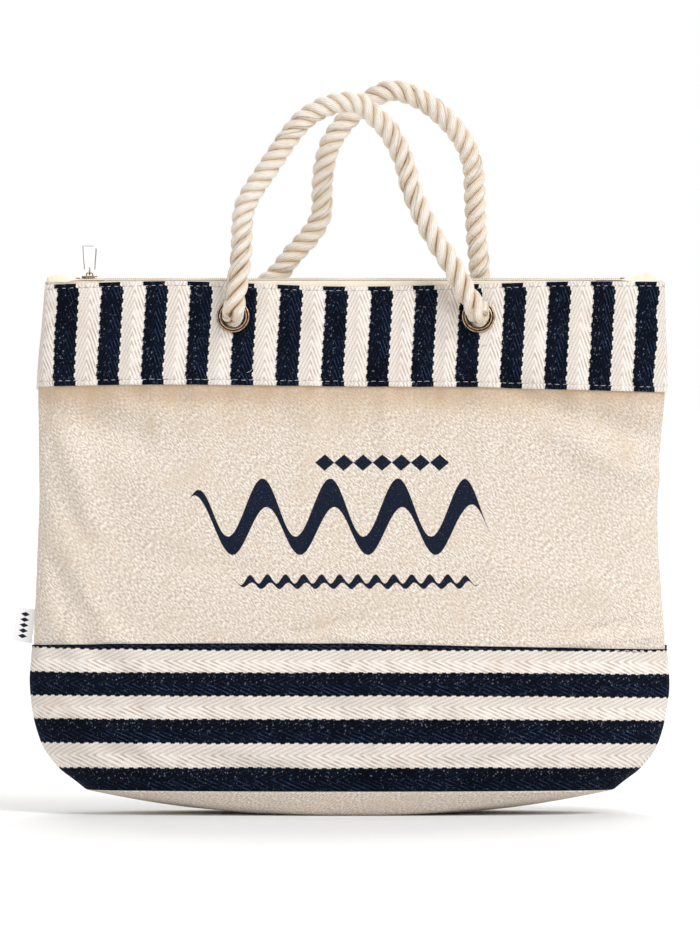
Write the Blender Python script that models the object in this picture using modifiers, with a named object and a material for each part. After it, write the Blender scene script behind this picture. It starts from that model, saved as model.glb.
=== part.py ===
"""Canvas tote bag with rope handles and a zip mouth, as one object for each sewn, moulded or turned piece.

The bag stands on its base at the origin, its front faces -Y and +Z is up. Units are metres. Every cloth piece is a
strip of one body shape: a closed ring at each height, whose half width, half depth and squareness come from
BODY_RINGS. Pieces that swing or slide have their origin on their joint's axis.
"""

import math

import bmesh
import bpy
from mathutils import Matrix, Vector

# Body
BODY_WIDTH = 0.450
BODY_HEIGHT = 0.372
BODY_DEPTH = 0.112
# Rings of the canvas skin: share of the height, of half the width, of half the depth, and squareness
BODY_RINGS = (
    (0.047, 0.819, 0.929, 2.6),
    (0.089, 0.900, 0.972, 2.6),
    (0.134, 0.954, 1.000, 2.5),
    (0.226, 0.990, 0.982, 2.4),
    (0.323, 0.984, 0.895, 2.4),
    (0.591, 0.966, 0.679, 2.4),
    (0.806, 0.972, 0.527, 2.7),
    (0.970, 0.958, 0.318, 3.7),
    (1.000, 0.956, 0.250, 4.0),
)
SEAM_GAP = 0.0007
CLEARANCE = 0.0003
WALL_COLUMNS = 24

# Cloth
CANVAS_THICKNESS = 0.0010
BAND_THICKNESS = 0.0012
TOP_BAND_HEIGHT = 0.072
BOTTOM_BAND_HEIGHT = 0.102
BAND_LAP = 0.012
BASE_RISE = 0.0175
BASE_FLAT_HALF_LENGTH = 0.050
BASE_FLAT_HALF_DEPTH = 0.038
BASE_CURVE_POWER = 1.7
LABEL_LENGTH = 0.0135
LABEL_HEIGHT = 0.024
LABEL_THICKNESS = 0.0010
LABEL_RISE = 0.132
LABEL_TILT = math.radians(8)

# Eyelets
EYELET_SPACING = 0.172
EYELET_MIDDLE = 0.004
EYELET_DROP = 0.023
EYELET_HOLE_RADIUS = 0.0084
EYELET_BARREL_RADIUS = 0.0091
EYELET_FLANGE_RADIUS = 0.0116
EYELET_FLANGE_THICKNESS = 0.0013
EYELET_ROLL_RADIUS = 0.0104
EYELET_ROLL_THICKNESS = 0.0007
EYELET_SEAT_GAP = 0.0005
WASHER_THICKNESS = 0.0008
TURNED_STEPS = 18

# Ropes
ROPE_DIAMETER = 0.0155
ROPE_SAMPLES = 40
HANDLE_LEAN = math.radians(4)
ROPE_TO_FLANGE = 0.0010
# Routes from the left pivot to the right one: half spacings from the middle, metres above the pivots
FRONT_ROPE_ROUTE = (
    (-1.000, 0.000),
    (-0.972, 0.017),
    (-0.931, 0.043),
    (-0.919, 0.067),
    (-0.872, 0.081),
    (-0.722, 0.101),
    (-0.559, 0.122),
    (-0.407, 0.137),
    (-0.210, 0.146),
    (-0.012, 0.148),
    (0.139, 0.140),
    (0.279, 0.127),
    (0.393, 0.107),
    (0.458, 0.086),
    (0.608, 0.058),
    (0.783, 0.034),
    (1.000, 0.000),
)
BACK_ROPE_ROUTE = (
    (-1.000, 0.000),
    (-0.847, 0.012),
    (-0.640, 0.027),
    (-0.524, 0.040),
    (-0.361, 0.056),
    (-0.280, 0.070),
    (-0.275, 0.087),
    (-0.256, 0.103),
    (-0.210, 0.118),
    (-0.128, 0.130),
    (-0.012, 0.141),
    (0.104, 0.149),
    (0.253, 0.156),
    (0.403, 0.155),
    (0.593, 0.147),
    (0.779, 0.133),
    (0.903, 0.118),
    (0.963, 0.102),
    (0.973, 0.086),
    (0.981, 0.069),
    (0.993, 0.050),
    (1.013, 0.033),
    (1.000, 0.000),
)
KNOT_RADII = (0.0100, 0.0098, 0.0130)
KNOT_SHIFT = 0.009
KNOT_SINK = 0.0138

# Zip
ZIP_RISE = 0.0032
TAPE_THICKNESS = 0.0006
HEM_DEPTH = 0.010
HEM_TOP = 0.0022
FLAP_HINGE_HALF_GAP = 0.0120
FLAP_HALF_LENGTH = 0.171
COIL_RADIUS = 0.0013
COIL_HALF_GAP = 0.0008
END_START = 0.172
END_REACH = 0.0095
END_LIFT = 0.0030
END_FLAT = 0.196
SLIDER_PARK = 0.183
SLIDER_LENGTH = 0.011
SLIDER_HALF_WIDTH = 0.0042
SLIDER_PLATE = 0.0009
SLIDER_POST_LENGTH = 0.0035
SLIDER_POST_WIDTH = 0.0010
STOP_LENGTH = 0.0030
LINK_RADIUS = 0.0024
LINK_WIRE = 0.0009
LINK_HANG = 0.0012
BRIDGE_HALF_LENGTH = 0.0022
PULL_WIDTH = 0.0100
PULL_EYE_WIDTH = 0.0058
PULL_LENGTH = 0.0172
PULL_THICKNESS = 0.0011
PULL_STRIP = 0.0008
PULL_EYE_HEIGHT = 0.0042

CANVAS_COLOR = (0.76, 0.68, 0.57)
CREAM_COLOR = (0.84, 0.79, 0.72)
NAVY_COLOR = (0.006, 0.011, 0.032)
ROPE_COLOR = (0.80, 0.71, 0.58)
LABEL_COLOR = (0.86, 0.86, 0.86)
NICKEL_COLOR = (0.36, 0.31, 0.25)
BRIGHT_COLOR = (0.80, 0.80, 0.80)

FRONT, BACK = 1, -1
SIDES = {"front": FRONT, "back": BACK}
ENDS = {"left": -1, "right": 1}


# Scene and materials


def clear_scene():
    for obj in list(bpy.data.objects):
        bpy.data.objects.remove(obj)


def new_collection(name):
    collection = bpy.data.collections.new(name)
    bpy.context.scene.collection.children.link(collection)
    return collection


def paint(obj, color, roughness=0.85, metallic=0.0):
    material = bpy.data.materials.new(obj.name)
    material.use_nodes = True
    shader = material.node_tree.nodes["Principled BSDF"]
    shader.inputs["Base Color"].default_value = (*color, 1.0)
    shader.inputs["Roughness"].default_value = roughness
    shader.inputs["Metallic"].default_value = metallic
    obj.data.materials.clear()
    obj.data.materials.append(material)


def add_mesh(name, vertices, faces, collection, smooth=False):
    mesh = bpy.data.meshes.new(name)
    mesh.from_pydata([tuple(v) for v in vertices], [], faces)
    mesh.update()
    if smooth:
        mesh.shade_smooth()
    obj = bpy.data.objects.new(name, mesh)
    collection.objects.link(obj)
    return obj


def add_primitive(name, build, collection, matrix=None):
    """An object whose mesh a bmesh operator builds around its own origin."""
    mesh = bpy.data.meshes.new(name)
    shape = bmesh.new()
    build(shape)
    if matrix is not None:
        bmesh.ops.transform(shape, matrix=matrix, verts=shape.verts)
    shape.to_mesh(mesh)
    shape.free()
    obj = bpy.data.objects.new(name, mesh)
    collection.objects.link(obj)
    return obj


def add_box(name, low, high, collection):
    size = [h - l for l, h in zip(low, high)]
    middle = [(h + l) / 2 for l, h in zip(low, high)]
    matrix = Matrix.Translation(middle) @ Matrix.Diagonal((*size, 1.0))
    return add_primitive(name, lambda shape: bmesh.ops.create_cube(shape, size=1.0), collection, matrix)


def add_cylinder(name, radius, start, end, collection, sides=TURNED_STEPS):
    start, end = Vector(start), Vector(end)
    turn = (end - start).to_track_quat("Z", "Y").to_matrix().to_4x4()
    matrix = Matrix.Translation((start + end) / 2) @ turn

    def build(shape):
        bmesh.ops.create_cone(
            shape, cap_ends=True, segments=sides, radius1=radius, radius2=radius, depth=(end - start).length
        )

    return add_primitive(name, build, collection, matrix)


def as_cutter(obj):
    obj.hide_render = True
    obj.display_type = "WIRE"
    return obj


def boolean(obj, other, operation):
    """Cut or join with another object, which stays as a hidden guide."""
    modifier = obj.modifiers.new(other.name, "BOOLEAN")
    modifier.operation = operation
    modifier.solver = "EXACT"
    modifier.object = as_cutter(other)


def smooth_points(points, count):
    """Evenly numbered points of a Catmull-Rom curve through the given ones."""
    points = [Vector(p) for p in points]
    padded = [2 * points[0] - points[1], *points, 2 * points[-1] - points[-2]]
    result = []
    for step in range(count + 1):
        place = step * (len(points) - 1) / count
        index = min(int(place), len(points) - 2)
        t = place - index
        a, b, c, d = padded[index : index + 4]
        bend = 2 * a - 5 * b + 4 * c - d
        result.append((2 * b + (c - a) * t + bend * t**2 + (3 * b - 3 * c + d - a) * t**3) / 2)
    return result


# The body's shape


def ring_at(height):
    """Half width, half depth and squareness of the canvas skin at a height."""
    share = height / BODY_HEIGHT
    rows = BODY_RINGS
    index = max(i for i in range(len(rows) - 1) if i == 0 or share >= rows[i][0])
    low, high = rows[index], rows[index + 1]
    before, after = rows[max(index - 1, 0)], rows[min(index + 2, len(rows) - 1)]
    span = high[0] - low[0]
    t = min(max((share - low[0]) / span, -1.0), 1.5)
    values = []
    for k in (1, 2, 3):
        start = (high[k] - before[k]) / (high[0] - before[0]) * span
        end = (after[k] - low[k]) / (after[0] - low[0]) * span
        if t < 0:
            values.append(low[k] + start * t)
            continue
        if t > 1:
            values.append(high[k] + end * (t - 1))
            continue
        values.append(
            low[k] * (1 - 3 * t**2 + 2 * t**3)
            + high[k] * (3 * t**2 - 2 * t**3)
            + start * (t - 2 * t**2 + t**3)
            + end * (t**3 - t**2)
        )
    return values[0] * BODY_WIDTH / 2, values[1] * BODY_DEPTH / 2, values[2]


def skin_point(angle, height, side):
    """A point of the canvas skin: angle 0 is the right seam and pi the left one."""
    half_width, half_depth, squareness = ring_at(height)
    across, forward = math.cos(angle), math.sin(angle)
    x = half_width * math.copysign(abs(across) ** (2 / squareness), across)
    y = half_depth * max(forward, 0.0) ** (2 / squareness)
    return Vector((x, -side * y, height))


def wall_frame(angle, height, side):
    """A point of the skin and the direction that points out of the bag there."""
    step = min(0.01, angle * 0.5, (math.pi - angle) * 0.5)
    rise = 0.001
    along = skin_point(angle + step, height, side) - skin_point(angle - step, height, side)
    up = skin_point(angle, height + rise, side) - skin_point(angle, height - rise, side)
    return skin_point(angle, height, side), side * up.cross(along).normalized()


def wall_point(angle, height, side, out):
    point, normal = wall_frame(angle, height, side)
    return point + out * normal


def seam_angle(height):
    """The angle at which a wall stops, half a seam gap short of the side seam."""
    _, half_depth, squareness = ring_at(height)
    return math.asin((SEAM_GAP / 2 / half_depth) ** (squareness / 2))


def angle_at_x(x, height):
    half_width, _, squareness = ring_at(height)
    return math.acos(math.copysign(abs(x / half_width) ** (squareness / 2), x))


def wall_shell(name, side, bottom, top, rows, out, thickness, color, collection):
    """A cloth strip between two heights, whose outer face lies at a distance from the skin."""
    vertices = []
    for row in range(rows + 1):
        height = bottom + (top - bottom) * row / rows
        start = seam_angle(height)
        for column in range(WALL_COLUMNS + 1):
            angle = start + (math.pi - 2 * start) * column / WALL_COLUMNS
            point = wall_point(angle, height, side, out)
            vertices.append((point.x, min(point.y * side, -SEAM_GAP / 2) * side, height))
    faces = []
    width = WALL_COLUMNS + 1
    for row in range(rows):
        for column in range(WALL_COLUMNS):
            corner = row * width + column
            face = (corner, corner + width, corner + width + 1, corner + 1)
            faces.append(face if side == FRONT else face[::-1])
    obj = add_mesh(name, vertices, faces, collection, smooth=True)
    solidify = obj.modifiers.new("thickness", "SOLIDIFY")
    solidify.thickness = thickness
    solidify.offset = -1.0
    paint(obj, color)
    return obj


BAND_OUT = CLEARANCE + BAND_THICKNESS
TOP_BAND_BOTTOM = BODY_HEIGHT - TOP_BAND_HEIGHT
BOTTOM_BAND_BOTTOM = BASE_RISE + CLEARANCE
BOTTOM_BAND_TOP = BASE_RISE + BOTTOM_BAND_HEIGHT
EYELET_HEIGHT = BODY_HEIGHT - EYELET_DROP
ZIP_HEIGHT = BODY_HEIGHT + ZIP_RISE


# Cloth pieces


def make_walls(collection):
    walls = {}
    for word, side in SIDES.items():
        wall_shell(
            f"{word}_panel",
            side,
            BOTTOM_BAND_TOP - BAND_LAP,
            TOP_BAND_BOTTOM + BAND_LAP,
            8,
            0.0,
            CANVAS_THICKNESS,
            CANVAS_COLOR,
            collection,
        )
        wall_shell(
            f"{word}_bottom_band",
            side,
            BOTTOM_BAND_BOTTOM,
            BOTTOM_BAND_TOP,
            7,
            BAND_OUT,
            BAND_THICKNESS,
            NAVY_COLOR,
            collection,
        )
        walls[word] = wall_shell(
            f"{word}_top_band",
            side,
            TOP_BAND_BOTTOM,
            BODY_HEIGHT,
            8,
            BAND_OUT,
            BAND_THICKNESS,
            CREAM_COLOR,
            collection,
        )
    return walls


def make_base(collection):
    """A shallow dish: a flat foot that curves up to the rim under the bottom bands."""
    around, rings = 2 * WALL_COLUMNS, 4
    rim = []
    for column in range(around):
        turn = 2 * math.pi * (column + 0.5) / around
        angle, side = (turn, FRONT) if turn < math.pi else (2 * math.pi - turn, BACK)
        rim.append(wall_point(angle, BASE_RISE, side, BAND_OUT))
    squareness = ring_at(BASE_RISE)[2]
    vertices = [(0.0, 0.0, 0.0)]
    for ring in range(rings + 1):
        share = ring / rings
        for column, edge in enumerate(rim):
            turn = 2 * math.pi * (column + 0.5) / around
            across, forward = math.cos(turn), math.sin(turn)
            foot_x = BASE_FLAT_HALF_LENGTH * math.copysign(abs(across) ** (2 / squareness), across)
            foot_y = -BASE_FLAT_HALF_DEPTH * math.copysign(abs(forward) ** (2 / squareness), forward)
            x = foot_x + (edge.x - foot_x) * share
            y = foot_y + (edge.y - foot_y) * share
            vertices.append((x, y, (BASE_RISE - CANVAS_THICKNESS) * share**BASE_CURVE_POWER))
    faces = []
    for column in range(around):
        follower = (column + 1) % around
        faces.append((0, 1 + column, 1 + follower))
        for ring in range(rings):
            low, high = 1 + ring * around, 1 + (ring + 1) * around
            faces.append((low + column, high + column, high + follower, low + follower))
    obj = add_mesh("base_panel", vertices, faces, collection, smooth=True)
    solidify = obj.modifiers.new("thickness", "SOLIDIFY")
    solidify.thickness = CANVAS_THICKNESS
    solidify.offset = -1.0
    paint(obj, CANVAS_COLOR)


def make_label(collection):
    """The folded tab in the left seam, just above the bottom band."""
    lean = LABEL_HEIGHT / 2 * math.sin(LABEL_TILT)
    low = ring_at(LABEL_RISE - LABEL_HEIGHT / 2)[0]
    high = ring_at(LABEL_RISE + LABEL_HEIGHT / 2)[0]
    seam = max(low - lean, ring_at(LABEL_RISE)[0], high + lean) + CLEARANCE
    half = (LABEL_LENGTH / 2, LABEL_THICKNESS / 2, LABEL_HEIGHT / 2)
    label = add_box("side_label", [-h for h in half], half, collection)
    label.location = (-seam - LABEL_LENGTH / 2, 0.0, LABEL_RISE)
    label.rotation_euler = (0.0, LABEL_TILT, 0.0)
    paint(label, LABEL_COLOR)


# Eyelets and ropes


def eyelet_frame(side, end):
    """Centre of an eyelet on the band's outer face, and the direction out of the bag."""
    x = EYELET_MIDDLE + end * EYELET_SPACING / 2
    angle = angle_at_x(x, EYELET_HEIGHT)
    point, normal = wall_frame(angle, EYELET_HEIGHT, side)
    return point + BAND_OUT * normal, normal


def turned(name, outline, collection, place):
    """A closed outline of (radius, height) pairs, its outer side running down, turned about Z."""
    count = len(outline)
    mesh = bpy.data.meshes.new(name)
    edges = [(i, (i + 1) % count) for i in range(count)]
    mesh.from_pydata([(radius, 0.0, height) for radius, height in outline], edges, [])
    obj = bpy.data.objects.new(name, mesh)
    collection.objects.link(obj)
    screw = obj.modifiers.new("turn", "SCREW")
    screw.steps = TURNED_STEPS
    screw.render_steps = TURNED_STEPS
    screw.use_merge_vertices = True
    screw.merge_threshold = 0.00001
    screw.use_smooth_shade = True
    obj.matrix_world = place
    return obj


def eyelet_place(side, end):
    centre, normal = eyelet_frame(side, end)
    return Matrix.Translation(centre) @ normal.to_track_quat("Z", "Y").to_matrix().to_4x4()


def make_eyelets(collection, cutters, walls):
    washer_top = -BAND_THICKNESS - EYELET_SEAT_GAP
    washer_bottom = washer_top - WASHER_THICKNESS
    roll_top = washer_bottom - CLEARANCE
    roll_bottom = roll_top - EYELET_ROLL_THICKNESS
    flange_bottom = EYELET_SEAT_GAP
    flange_top = flange_bottom + EYELET_FLANGE_THICKNESS
    shoulder = flange_bottom + 0.5 * EYELET_FLANGE_THICKNESS
    eyelet = (
        (EYELET_HOLE_RADIUS, shoulder),
        (EYELET_HOLE_RADIUS + 0.0006, flange_top - 0.0002),
        (EYELET_HOLE_RADIUS + 0.0014, flange_top),
        (EYELET_FLANGE_RADIUS - 0.0007, flange_top - 0.0003),
        (EYELET_FLANGE_RADIUS, shoulder),
        (EYELET_FLANGE_RADIUS, flange_bottom),
        (EYELET_BARREL_RADIUS, flange_bottom),
        (EYELET_BARREL_RADIUS, roll_top),
        (EYELET_ROLL_RADIUS, roll_top),
        (EYELET_ROLL_RADIUS, roll_bottom),
        (EYELET_HOLE_RADIUS, roll_bottom),
    )
    washer = (
        (EYELET_BARREL_RADIUS + CLEARANCE, washer_top),
        (EYELET_FLANGE_RADIUS, washer_top),
        (EYELET_FLANGE_RADIUS, washer_bottom),
        (EYELET_BARREL_RADIUS + CLEARANCE, washer_bottom),
    )
    for word, side in SIDES.items():
        for end_word, end in ENDS.items():
            place = eyelet_place(side, end)
            paint(turned(f"eyelet_{word}_{end_word}", eyelet, collection, place), NICKEL_COLOR, 0.3, 1.0)
            paint(turned(f"washer_{word}_{end_word}", washer, collection, place), NICKEL_COLOR, 0.35, 1.0)
            reach = Vector((0.0, 0.0, 6 * BAND_THICKNESS))
            hole = add_cylinder(
                f"hole_{word}_{end_word}",
                EYELET_BARREL_RADIUS + CLEARANCE,
                place @ -reach,
                place @ reach,
                cutters,
            )
            boolean(walls[word], hole, "DIFFERENCE")


def rope_pivot(side, end):
    """Where a handle swings: in front of its eyelet, clear of the flange."""
    centre, normal = eyelet_frame(side, end)
    reach = EYELET_SEAT_GAP + EYELET_FLANGE_THICKNESS + ROPE_TO_FLANGE + ROPE_DIAMETER / 2
    return centre + reach * Vector((0.0, normal.y, normal.z)).normalized()


def handle_route(side, route):
    """The rope's centre line, leaning towards the other handle."""
    left, right = rope_pivot(side, -1), rope_pivot(side, 1)
    points = []
    for share, rise in route:
        x = (left.x + right.x) / 2 + share * (right.x - left.x) / 2
        y = left.y + side * rise * math.tan(HANDLE_LEAN)
        points.append(Vector((x, y, left.z + rise)))
    return points


def make_handle(name, side, route, collection):
    """One rope arch, with a round end at each pivot, its origin on the swing axis."""
    pivot = rope_pivot(side, -1)
    origin = Vector((0.0, pivot.y, pivot.z))
    points = smooth_points(handle_route(side, route), ROPE_SAMPLES)
    radius = ROPE_DIAMETER / 2
    ends = [(reach, math.sqrt(1 - reach**2)) for reach in (0.97, 0.80, 0.45)]
    first = (points[0] - points[1]).normalized()
    last = (points[-1] - points[-2]).normalized()
    knots = [(points[0] + radius * reach * first, share) for reach, share in ends]
    knots += [(point, 1.0) for point in points]
    knots += [(points[-1] + radius * reach * last, share) for reach, share in reversed(ends)]
    curve = bpy.data.curves.new(name, "CURVE")
    curve.dimensions = "3D"
    curve.bevel_depth = radius
    curve.bevel_resolution = 2
    curve.use_fill_caps = True
    spline = curve.splines.new("POLY")
    spline.points.add(len(knots) - 1)
    for target, (point, share) in zip(spline.points, knots):
        target.co = (*(point - origin), 1.0)
        target.radius = share
    obj = bpy.data.objects.new(name, curve)
    obj.location = origin
    collection.objects.link(obj)
    paint(obj, ROPE_COLOR)


def make_rope_end(name, side, end, collection, cutters):
    """The rope's stub through its eyelet, with the stopper knot behind it."""
    centre, normal = eyelet_frame(side, end)
    stub_reach = (rope_pivot(side, end) - centre).length - ROPE_DIAMETER / 2 - CLEARANCE
    knot_centre = centre - KNOT_SINK * normal
    knot_centre.x -= side * KNOT_SHIFT
    stub = add_cylinder(
        name, ROPE_DIAMETER / 2, centre + stub_reach * normal, centre - KNOT_SINK * normal, collection, sides=14
    )
    matrix = Matrix.Translation(knot_centre) @ Matrix.Diagonal((*KNOT_RADII, 1.0))
    knot = add_primitive(
        f"{name}_lump",
        lambda shape: bmesh.ops.create_uvsphere(shape, u_segments=14, v_segments=9, radius=1.0),
        cutters,
        matrix,
    )
    boolean(stub, knot, "UNION")
    paint(stub, ROPE_COLOR)


def make_ropes(collection, cutters):
    make_handle("front_rope_handle", FRONT, FRONT_ROPE_ROUTE, collection)
    make_handle("back_rope_handle", BACK, BACK_ROPE_ROUTE, collection)
    for word, side in SIDES.items():
        for end_word, end in ENDS.items():
            make_rope_end(f"rope_knot_{word}_{end_word}", side, end, collection, cutters)


# Zip


def make_hems(collection):
    """The sewn edges of the zip tape, inside the top bands."""
    for word, side in SIDES.items():
        wall_shell(
            f"zip_hem_{word}",
            side,
            BODY_HEIGHT - HEM_DEPTH,
            BODY_HEIGHT + HEM_TOP,
            3,
            -CLEARANCE,
            TAPE_THICKNESS,
            CREAM_COLOR,
            collection,
        )


def make_flaps(collection):
    """The free halves of the zip, which swing up from the hems when the mouth is open."""
    coil_middle = COIL_HALF_GAP + COIL_RADIUS
    tape_inner = coil_middle + COIL_RADIUS + CLEARANCE
    for word, side in SIDES.items():
        hinge = Vector((0.0, -side * FLAP_HINGE_HALF_GAP, ZIP_HEIGHT))
        edges = sorted((-side * CLEARANCE, side * (FLAP_HINGE_HALF_GAP - tape_inner)))
        tape = add_box(
            f"zip_tape_{word}",
            (-FLAP_HALF_LENGTH, edges[0], -TAPE_THICKNESS / 2),
            (FLAP_HALF_LENGTH, edges[1], TAPE_THICKNESS / 2),
            collection,
        )
        tape.location = hinge
        paint(tape, CREAM_COLOR)
        middle = side * (FLAP_HINGE_HALF_GAP - coil_middle)
        coil = add_cylinder(
            f"zip_coil_{word}",
            COIL_RADIUS,
            (-FLAP_HALF_LENGTH, middle, 0.0),
            (FLAP_HALF_LENGTH, middle, 0.0),
            collection,
            sides=10,
        )
        coil.location = hinge
        paint(coil, CREAM_COLOR, 0.5)


def make_tape_ends(collection, cutters):
    """The closed ends of the zip, with the last teeth, turned up at the side seams."""
    columns, rows = 8, 8
    reach = ring_at(BODY_HEIGHT)[0] - END_REACH
    coil_middle = COIL_HALF_GAP + COIL_RADIUS
    coil_end = SLIDER_PARK + SLIDER_LENGTH / 2 + 4 * CLEARANCE
    for word, end in ENDS.items():
        vertices = []
        for row in range(rows + 1):
            x = END_START + (reach - END_START) * row / rows
            lift = max((x - END_FLAT) / (reach - END_FLAT), 0.0) ** 2 * END_LIFT
            hem = wall_point(angle_at_x(x, BODY_HEIGHT), BODY_HEIGHT, FRONT, 0.0)
            half = min(-hem.y, FLAP_HINGE_HALF_GAP)
            for column in range(columns + 1):
                y = half * (2 * column / columns - 1)
                vertices.append((end * x, y, ZIP_HEIGHT + TAPE_THICKNESS / 2 + lift))
        width = columns + 1
        faces = []
        for row in range(rows):
            for column in range(columns):
                corner = row * width + column
                face = (corner, corner + width, corner + width + 1, corner + 1)
                faces.append(face if end > 0 else face[::-1])
        tape = add_mesh(f"zip_end_{word}", vertices, faces, collection)
        solidify = tape.modifiers.new("thickness", "SOLIDIFY")
        solidify.thickness = TAPE_THICKNESS
        solidify.offset = -1.0
        tall = 4 * COIL_RADIUS
        slot = sorted((end * (END_START - 0.002), end * (coil_end + CLEARANCE)))
        slot_box = add_box(
            f"slot_{word}",
            (slot[0], -coil_middle, ZIP_HEIGHT - tall),
            (slot[1], coil_middle, ZIP_HEIGHT + tall),
            cutters,
        )
        boolean(tape, slot_box, "DIFFERENCE")
        notch = sorted((end * coil_end, end * (coil_end + STOP_LENGTH + 2 * CLEARANCE)))
        half = coil_middle + COIL_RADIUS + CLEARANCE
        notch_box = add_box(
            f"notch_{word}", (notch[0], -half, ZIP_HEIGHT - tall), (notch[1], half, ZIP_HEIGHT + tall), cutters
        )
        boolean(tape, notch_box, "DIFFERENCE")
        for row_word, side in SIDES.items():
            teeth = add_cylinder(
                f"teeth_{word}_{row_word}",
                COIL_RADIUS,
                (end * END_START, -side * coil_middle, ZIP_HEIGHT),
                (end * coil_end, -side * coil_middle, ZIP_HEIGHT),
                cutters,
                sides=10,
            )
            boolean(tape, teeth, "UNION")
        paint(tape, CREAM_COLOR)
    stop_start = coil_end + CLEARANCE
    stop_end = stop_start + STOP_LENGTH
    inner, outer = COIL_HALF_GAP, COIL_HALF_GAP + 2 * COIL_RADIUS
    for row_word, side in SIDES.items():
        edges = sorted((-side * inner, -side * outer))
        stop = add_box(
            f"zip_top_stop_{row_word}",
            (-stop_end, edges[0], ZIP_HEIGHT - COIL_RADIUS),
            (-stop_start, edges[1], ZIP_HEIGHT + COIL_RADIUS),
            collection,
        )
        paint(stop, NICKEL_COLOR, 0.35, 1.0)
    stop = add_box(
        "zip_bottom_stop",
        (stop_start, -outer, ZIP_HEIGHT - COIL_RADIUS),
        (stop_end, outer, ZIP_HEIGHT + COIL_RADIUS),
        collection,
    )
    paint(stop, NICKEL_COLOR, 0.35, 1.0)


def link_axis_height():
    """The link's lower wire, just above the slider's upper plate."""
    return ZIP_HEIGHT + COIL_RADIUS + 2 * CLEARANCE + SLIDER_PLATE + LINK_WIRE / 2


def make_slider(collection, cutters):
    """Two plates joined by a post between the coils, with a bridge on top for the link."""
    park = Vector((-SLIDER_PARK, 0.0, 0.0))
    half_length, half_width = SLIDER_LENGTH / 2, SLIDER_HALF_WIDTH
    channel = COIL_RADIUS + CLEARANCE
    slider = add_box(
        "zip_slider", (-half_length, -half_width, channel), (half_length, half_width, channel + SLIDER_PLATE), collection
    )
    overlap = SLIDER_PLATE / 2
    bar_top = link_axis_height() - ZIP_HEIGHT + LINK_HANG + LINK_WIRE / 2
    post_half = SLIDER_POST_WIDTH / 2
    bridge_outer = BRIDGE_HALF_LENGTH + LINK_WIRE / 2
    bridge_inner = BRIDGE_HALF_LENGTH - LINK_WIRE / 2
    wire = LINK_WIRE / 2
    shapes = {
        "post": (
            (-half_length, -post_half, -channel - overlap),
            (-half_length + SLIDER_POST_LENGTH, post_half, channel + overlap),
        ),
        "lower_plate": (
            (-half_length - 0.0001, -half_width, -channel - SLIDER_PLATE),
            (half_length, half_width, -channel),
        ),
        "bridge": ((-bridge_outer, -wire, channel + overlap), (bridge_outer, wire, bar_top)),
    }
    for word, (low, high) in shapes.items():
        boolean(slider, place_shape(add_box(f"slider_{word}", low, high, cutters), park), "UNION")
    gap = add_box(
        "slider_bridge_gap",
        (-bridge_inner, -2 * wire, channel + SLIDER_PLATE),
        (bridge_inner, 2 * wire, bar_top - LINK_WIRE),
        cutters,
    )
    boolean(slider, place_shape(gap, park), "DIFFERENCE")
    place_shape(slider, park)
    paint(slider, NICKEL_COLOR, 0.3, 1.0)


def place_shape(obj, park):
    obj.location = park + Vector((0.0, 0.0, ZIP_HEIGHT))
    return obj


def make_link(collection):
    """The small ring through the slider's bridge, its origin on its lower wire."""
    major, minor = 20, 8
    vertices = []
    for step in range(major):
        turn = 2 * math.pi * step / major
        for around in range(minor):
            roll = 2 * math.pi * around / minor
            radius = LINK_RADIUS + LINK_WIRE / 2 * math.cos(roll)
            vertices.append(
                (LINK_WIRE / 2 * math.sin(roll), radius * math.sin(turn), LINK_RADIUS - radius * math.cos(turn))
            )
    faces = []
    for step in range(major):
        for around in range(minor):
            a = step * minor + around
            b = step * minor + (around + 1) % minor
            c = (step + 1) % major * minor + (around + 1) % minor
            d = (step + 1) % major * minor + around
            faces.append((a, d, c, b))
    link = add_mesh("zip_pull_link", vertices, faces, collection, smooth=True)
    link.location = (-SLIDER_PARK, 0.0, link_axis_height())
    paint(link, NICKEL_COLOR, 0.3, 1.0)


def arc(centre_x, centre_y, radius, start, end, steps):
    points = []
    for step in range(steps + 1):
        angle = math.radians(start + (end - start) * step / steps)
        points.append((centre_x + radius * math.cos(angle), centre_y + radius * math.sin(angle)))
    return points


def make_pull(collection):
    """The flat pull tab, its eye hanging on the link, its origin on the eye's lower strip."""
    strip, half, eye = PULL_STRIP / 2, PULL_WIDTH / 2, PULL_EYE_WIDTH / 2
    shoulder = PULL_EYE_HEIGHT
    top = PULL_LENGTH - strip
    corner = PULL_WIDTH * 0.32
    outline = [(eye - 0.0008, -strip), (eye, -strip + 0.0008), (eye, shoulder - 0.0014), (half, shoulder + 0.0014)]
    outline += arc(half - corner, top - corner, corner, 0, 90, 5)
    outline += arc(corner - half, top - corner, corner, 90, 180, 5)
    outline += [(-x, y) for x, y in reversed(outline[:4])]
    rim = 0.0009
    hole = [(rim - eye, strip), (eye - rim, strip), (eye - rim, shoulder - 0.0012), (rim - eye, shoulder - 0.0012)]
    curve = bpy.data.curves.new("zip_pull", "CURVE")
    curve.dimensions = "2D"
    curve.fill_mode = "BOTH"
    curve.extrude = PULL_THICKNESS / 2
    for points in (outline, hole):
        spline = curve.splines.new("POLY")
        spline.points.add(len(points) - 1)
        for target, (x, y) in zip(spline.points, points):
            target.co = (x, y, 0.0, 1.0)
        spline.use_cyclic_u = True
    pull = bpy.data.objects.new("zip_pull", curve)
    collection.objects.link(pull)
    pull.location = (-SLIDER_PARK, 0.0, link_axis_height() + 2 * LINK_RADIUS - LINK_HANG)
    pull.rotation_euler = (math.pi / 2, 0.0, 0.0)
    paint(pull, BRIGHT_COLOR, 0.25, 1.0)


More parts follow.
